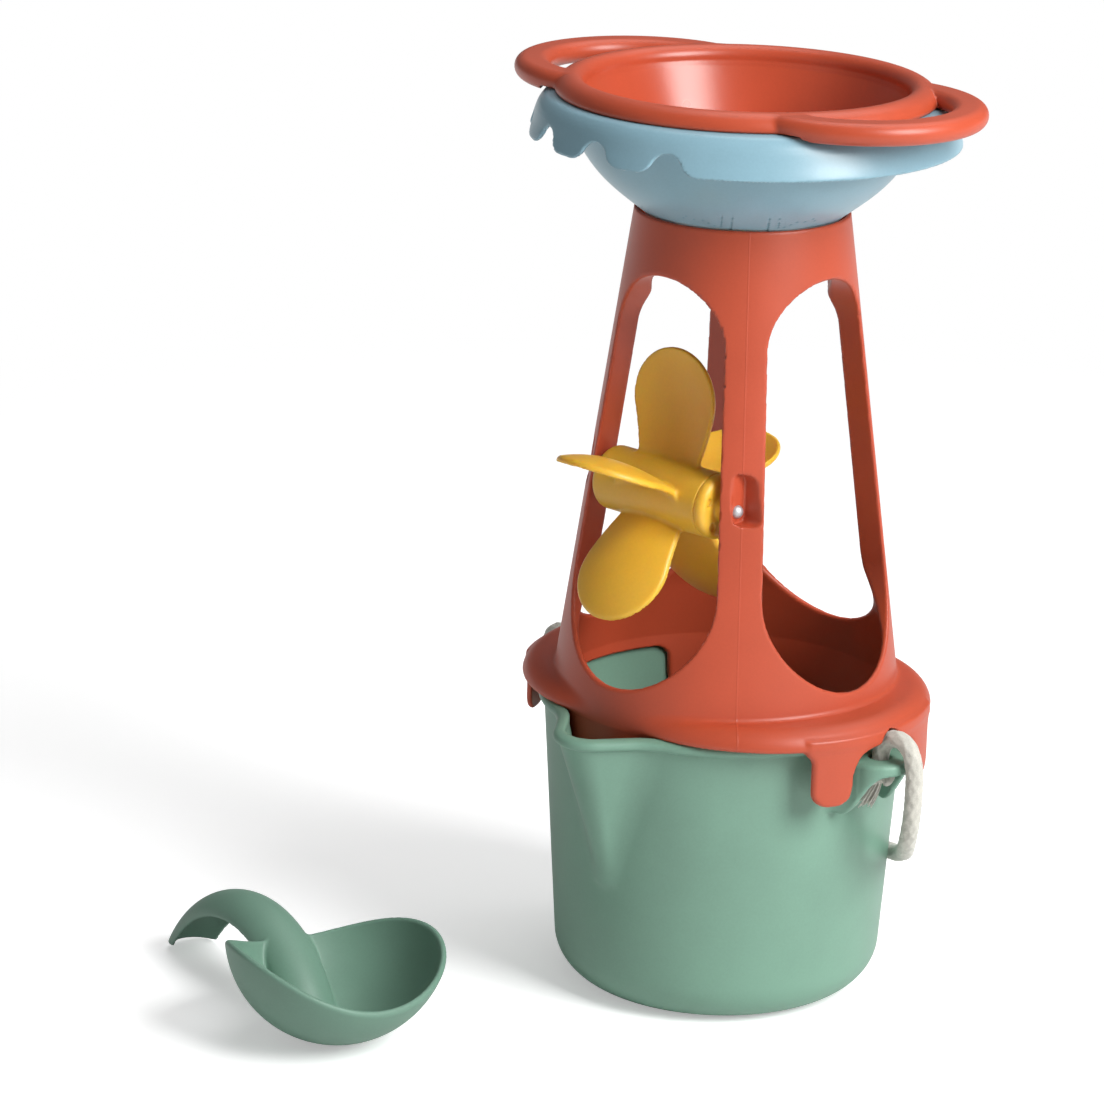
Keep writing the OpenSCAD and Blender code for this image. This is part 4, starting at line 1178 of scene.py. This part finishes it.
def tongue(lx, ly, lz, ball):
    """Curled handle: a bowed strip on a round sweep, narrow at its ends."""
    reach = np.hypot(lx - TONGUE_X, lz - TONGUE_Z)
    tube = np.abs(np.hypot(reach - TONGUE_R + TONGUE_BOW, ly) - TONGUE_BOW + SCOOP_WALL / 2) - SCOOP_WALL / 2
    tube = smax(tube, TONGUE_R - TONGUE_SAG - reach, TONGUE_FLOOR_ROUND)
    u = np.clip((lx - TONGUE_TIP_X) / (TONGUE_FOOT_X - TONGUE_TIP_X), 0, 1)
    end = np.where(u < 0.5, TONGUE_TIP_W, TONGUE_END_SHARE * TONGUE_W)
    half = (end + (TONGUE_W - end) * np.sin(math.pi * u)) / 2
    tube = smax(tube, (np.abs(ly) - half) * TONGUE_LEAN, TONGUE_SIDE_ROUND)
    tube = smax(tube, TIP_LIFT - SCOOP_R - lz, TONGUE_TIP_ROUND)
    return smax(tube, np.minimum(ball - SCOOP_R + SCOOP_WALL / 2, lx - TONGUE_CLIP_X), TONGUE_CLIP_ROUND)


def scoop(x, y, z):
    lx, ly = turned(x - SCOOP_AT[0], y - SCOOP_AT[1], math.radians(SCOOP_YAW))
    ly, lz = turned(ly, z - SCOOP_AT[2], math.radians(SCOOP_ROLL))
    ball = np.sqrt(lx * lx + ly * ly + lz * lz)
    bowl = smax(np.abs(ball - SCOOP_R + SCOOP_WALL / 2) - SCOOP_WALL / 2,
                np.hypot(lx - SCOOP_RIM_X, lz - SCOOP_RIM_Z) - SCOOP_RIM_R, SCOOP_RIM_ROUND)
    return smin(bowl, tongue(lx, ly, lz, ball), SCOOP_FILLET)


moulding("scoop_body", scoop, SCOOP_GRID, "scoop", "scoop", "scoop")


# Floor and light, in metres and watts

FLOOR_HALF = 14.0
FLOOR_DROP = 0.0004
FLOOR_LIFT = 0.38
FADE = (0.35, 1.1)
WHITE = (1, 1, 1)
PAPER_SCALE = 3
PAPER_STOPS = (0.3, 0.7)
PAPER_SHADES = (0.952, 0.965)
PAPER_ROUGH = 0.9
PAPER_SHINE = 0.1
AMBIENT = 0.198
AIM = (0, 0, 0.2)


def photo_way(right, away, up):
    """A point given as seen in the photograph, in metres, in the CAD frame."""
    along, across = math.cos(CAMERA_TURN), math.sin(CAMERA_TURN)
    return Vector((along * right - across * away, across * right + along * away, up))


def make_floor():
    """Pale floor that keeps the shadow and fades to white far away."""
    mesh = bpy.data.meshes.new("floor")
    corners = [(FLOOR_HALF * a, FLOOR_HALF * b, 0) for a, b in ((-1, -1), (1, -1), (1, 1), (-1, 1))]
    mesh.from_pydata(corners, [], [(0, 1, 2, 3)])
    floor = bpy.data.objects.new("floor", mesh)
    floor.location.z = -FLOOR_DROP
    bpy.context.scene.collection.objects.link(floor)
    n = Nodes("floor_paper")
    n.set(Roughness=PAPER_ROUGH, Specular_IOR_Level=PAPER_SHINE)
    n.join(n.shades(n.noise(PAPER_SCALE), WHITE, PAPER_STOPS, PAPER_SHADES), n.bsdf.inputs["Base Color"])
    white = n.add("ShaderNodeEmission")
    length = n.add("ShaderNodeVectorMath", operation="LENGTH")
    n.join(n.place, length.inputs[0])
    far = n.spread(length.outputs["Value"], 0.0, 1.0, *FADE)
    path = n.add("ShaderNodeLightPath")
    seen = n.math("MAXIMUM", path.outputs["Is Camera Ray"], path.outputs["Is Glossy Ray"])
    mix = n.add("ShaderNodeMixShader")
    n.join(n.math("MULTIPLY", far, seen), mix.inputs["Fac"])
    lift = n.add("ShaderNodeEmission")
    n.join(n.math("MULTIPLY", path.outputs["Is Camera Ray"], FLOOR_LIFT), lift.inputs["Strength"])
    paper = n.add("ShaderNodeAddShader")
    n.join(n.bsdf.outputs["BSDF"], paper.inputs[0])
    n.join(lift.outputs["Emission"], paper.inputs[1])
    n.join(paper.outputs["Shader"], mix.inputs[1])
    n.join(white.outputs["Emission"], mix.inputs[2])
    n.join(mix.outputs["Shader"], n.tree.nodes["Material Output"].inputs["Surface"])
    mesh.materials.append(n.material)


def lamp(name, at, wide, high, watts):
    data = bpy.data.lights.new(name, "AREA")
    data.energy, data.shape = watts, "RECTANGLE"
    data.size, data.size_y = wide, high
    light = bpy.data.objects.new(name, data)
    light.location = at
    light.rotation_euler = (Vector(AIM) - Vector(at)).to_track_quat("-Z", "Y").to_euler()
    bpy.context.scene.collection.objects.link(light)


def make_world():
    """White to the camera, and a weaker ambient light on the toy."""
    world = bpy.data.worlds.new("world")
    bpy.context.scene.world = world
    world.use_nodes = True
    tree = world.node_tree
    back = tree.nodes["Background"]
    back.inputs["Color"].default_value = linear(WHITE)
    path = tree.nodes.new("ShaderNodeLightPath")
    seen = tree.nodes.new("ShaderNodeMath")
    seen.operation = "MAXIMUM"
    tree.links.new(path.outputs["Is Camera Ray"], seen.inputs[0])
    tree.links.new(path.outputs["Is Transmission Ray"], seen.inputs[1])
    strength = tree.nodes.new("ShaderNodeMapRange")
    strength.inputs["To Min"].default_value = AMBIENT
    strength.inputs["To Max"].default_value = 1.0
    tree.links.new(seen.outputs["Value"], strength.inputs["Value"])
    tree.links.new(strength.outputs["Result"], back.inputs["Strength"])


make_floor()
make_world()
lamp("key", photo_way(right=1.25, away=-1.0, up=1.35), wide=0.9, high=1.1, watts=52)
lamp("fill", photo_way(right=-1.5, away=-1.3, up=0.9), wide=1.4, high=1.4, watts=1.5)
lamp("top", photo_way(right=0.3, away=0.5, up=1.9), wide=1.5, high=1.5, watts=13)
bpy.context.scene.view_settings.view_transform = "Standard"
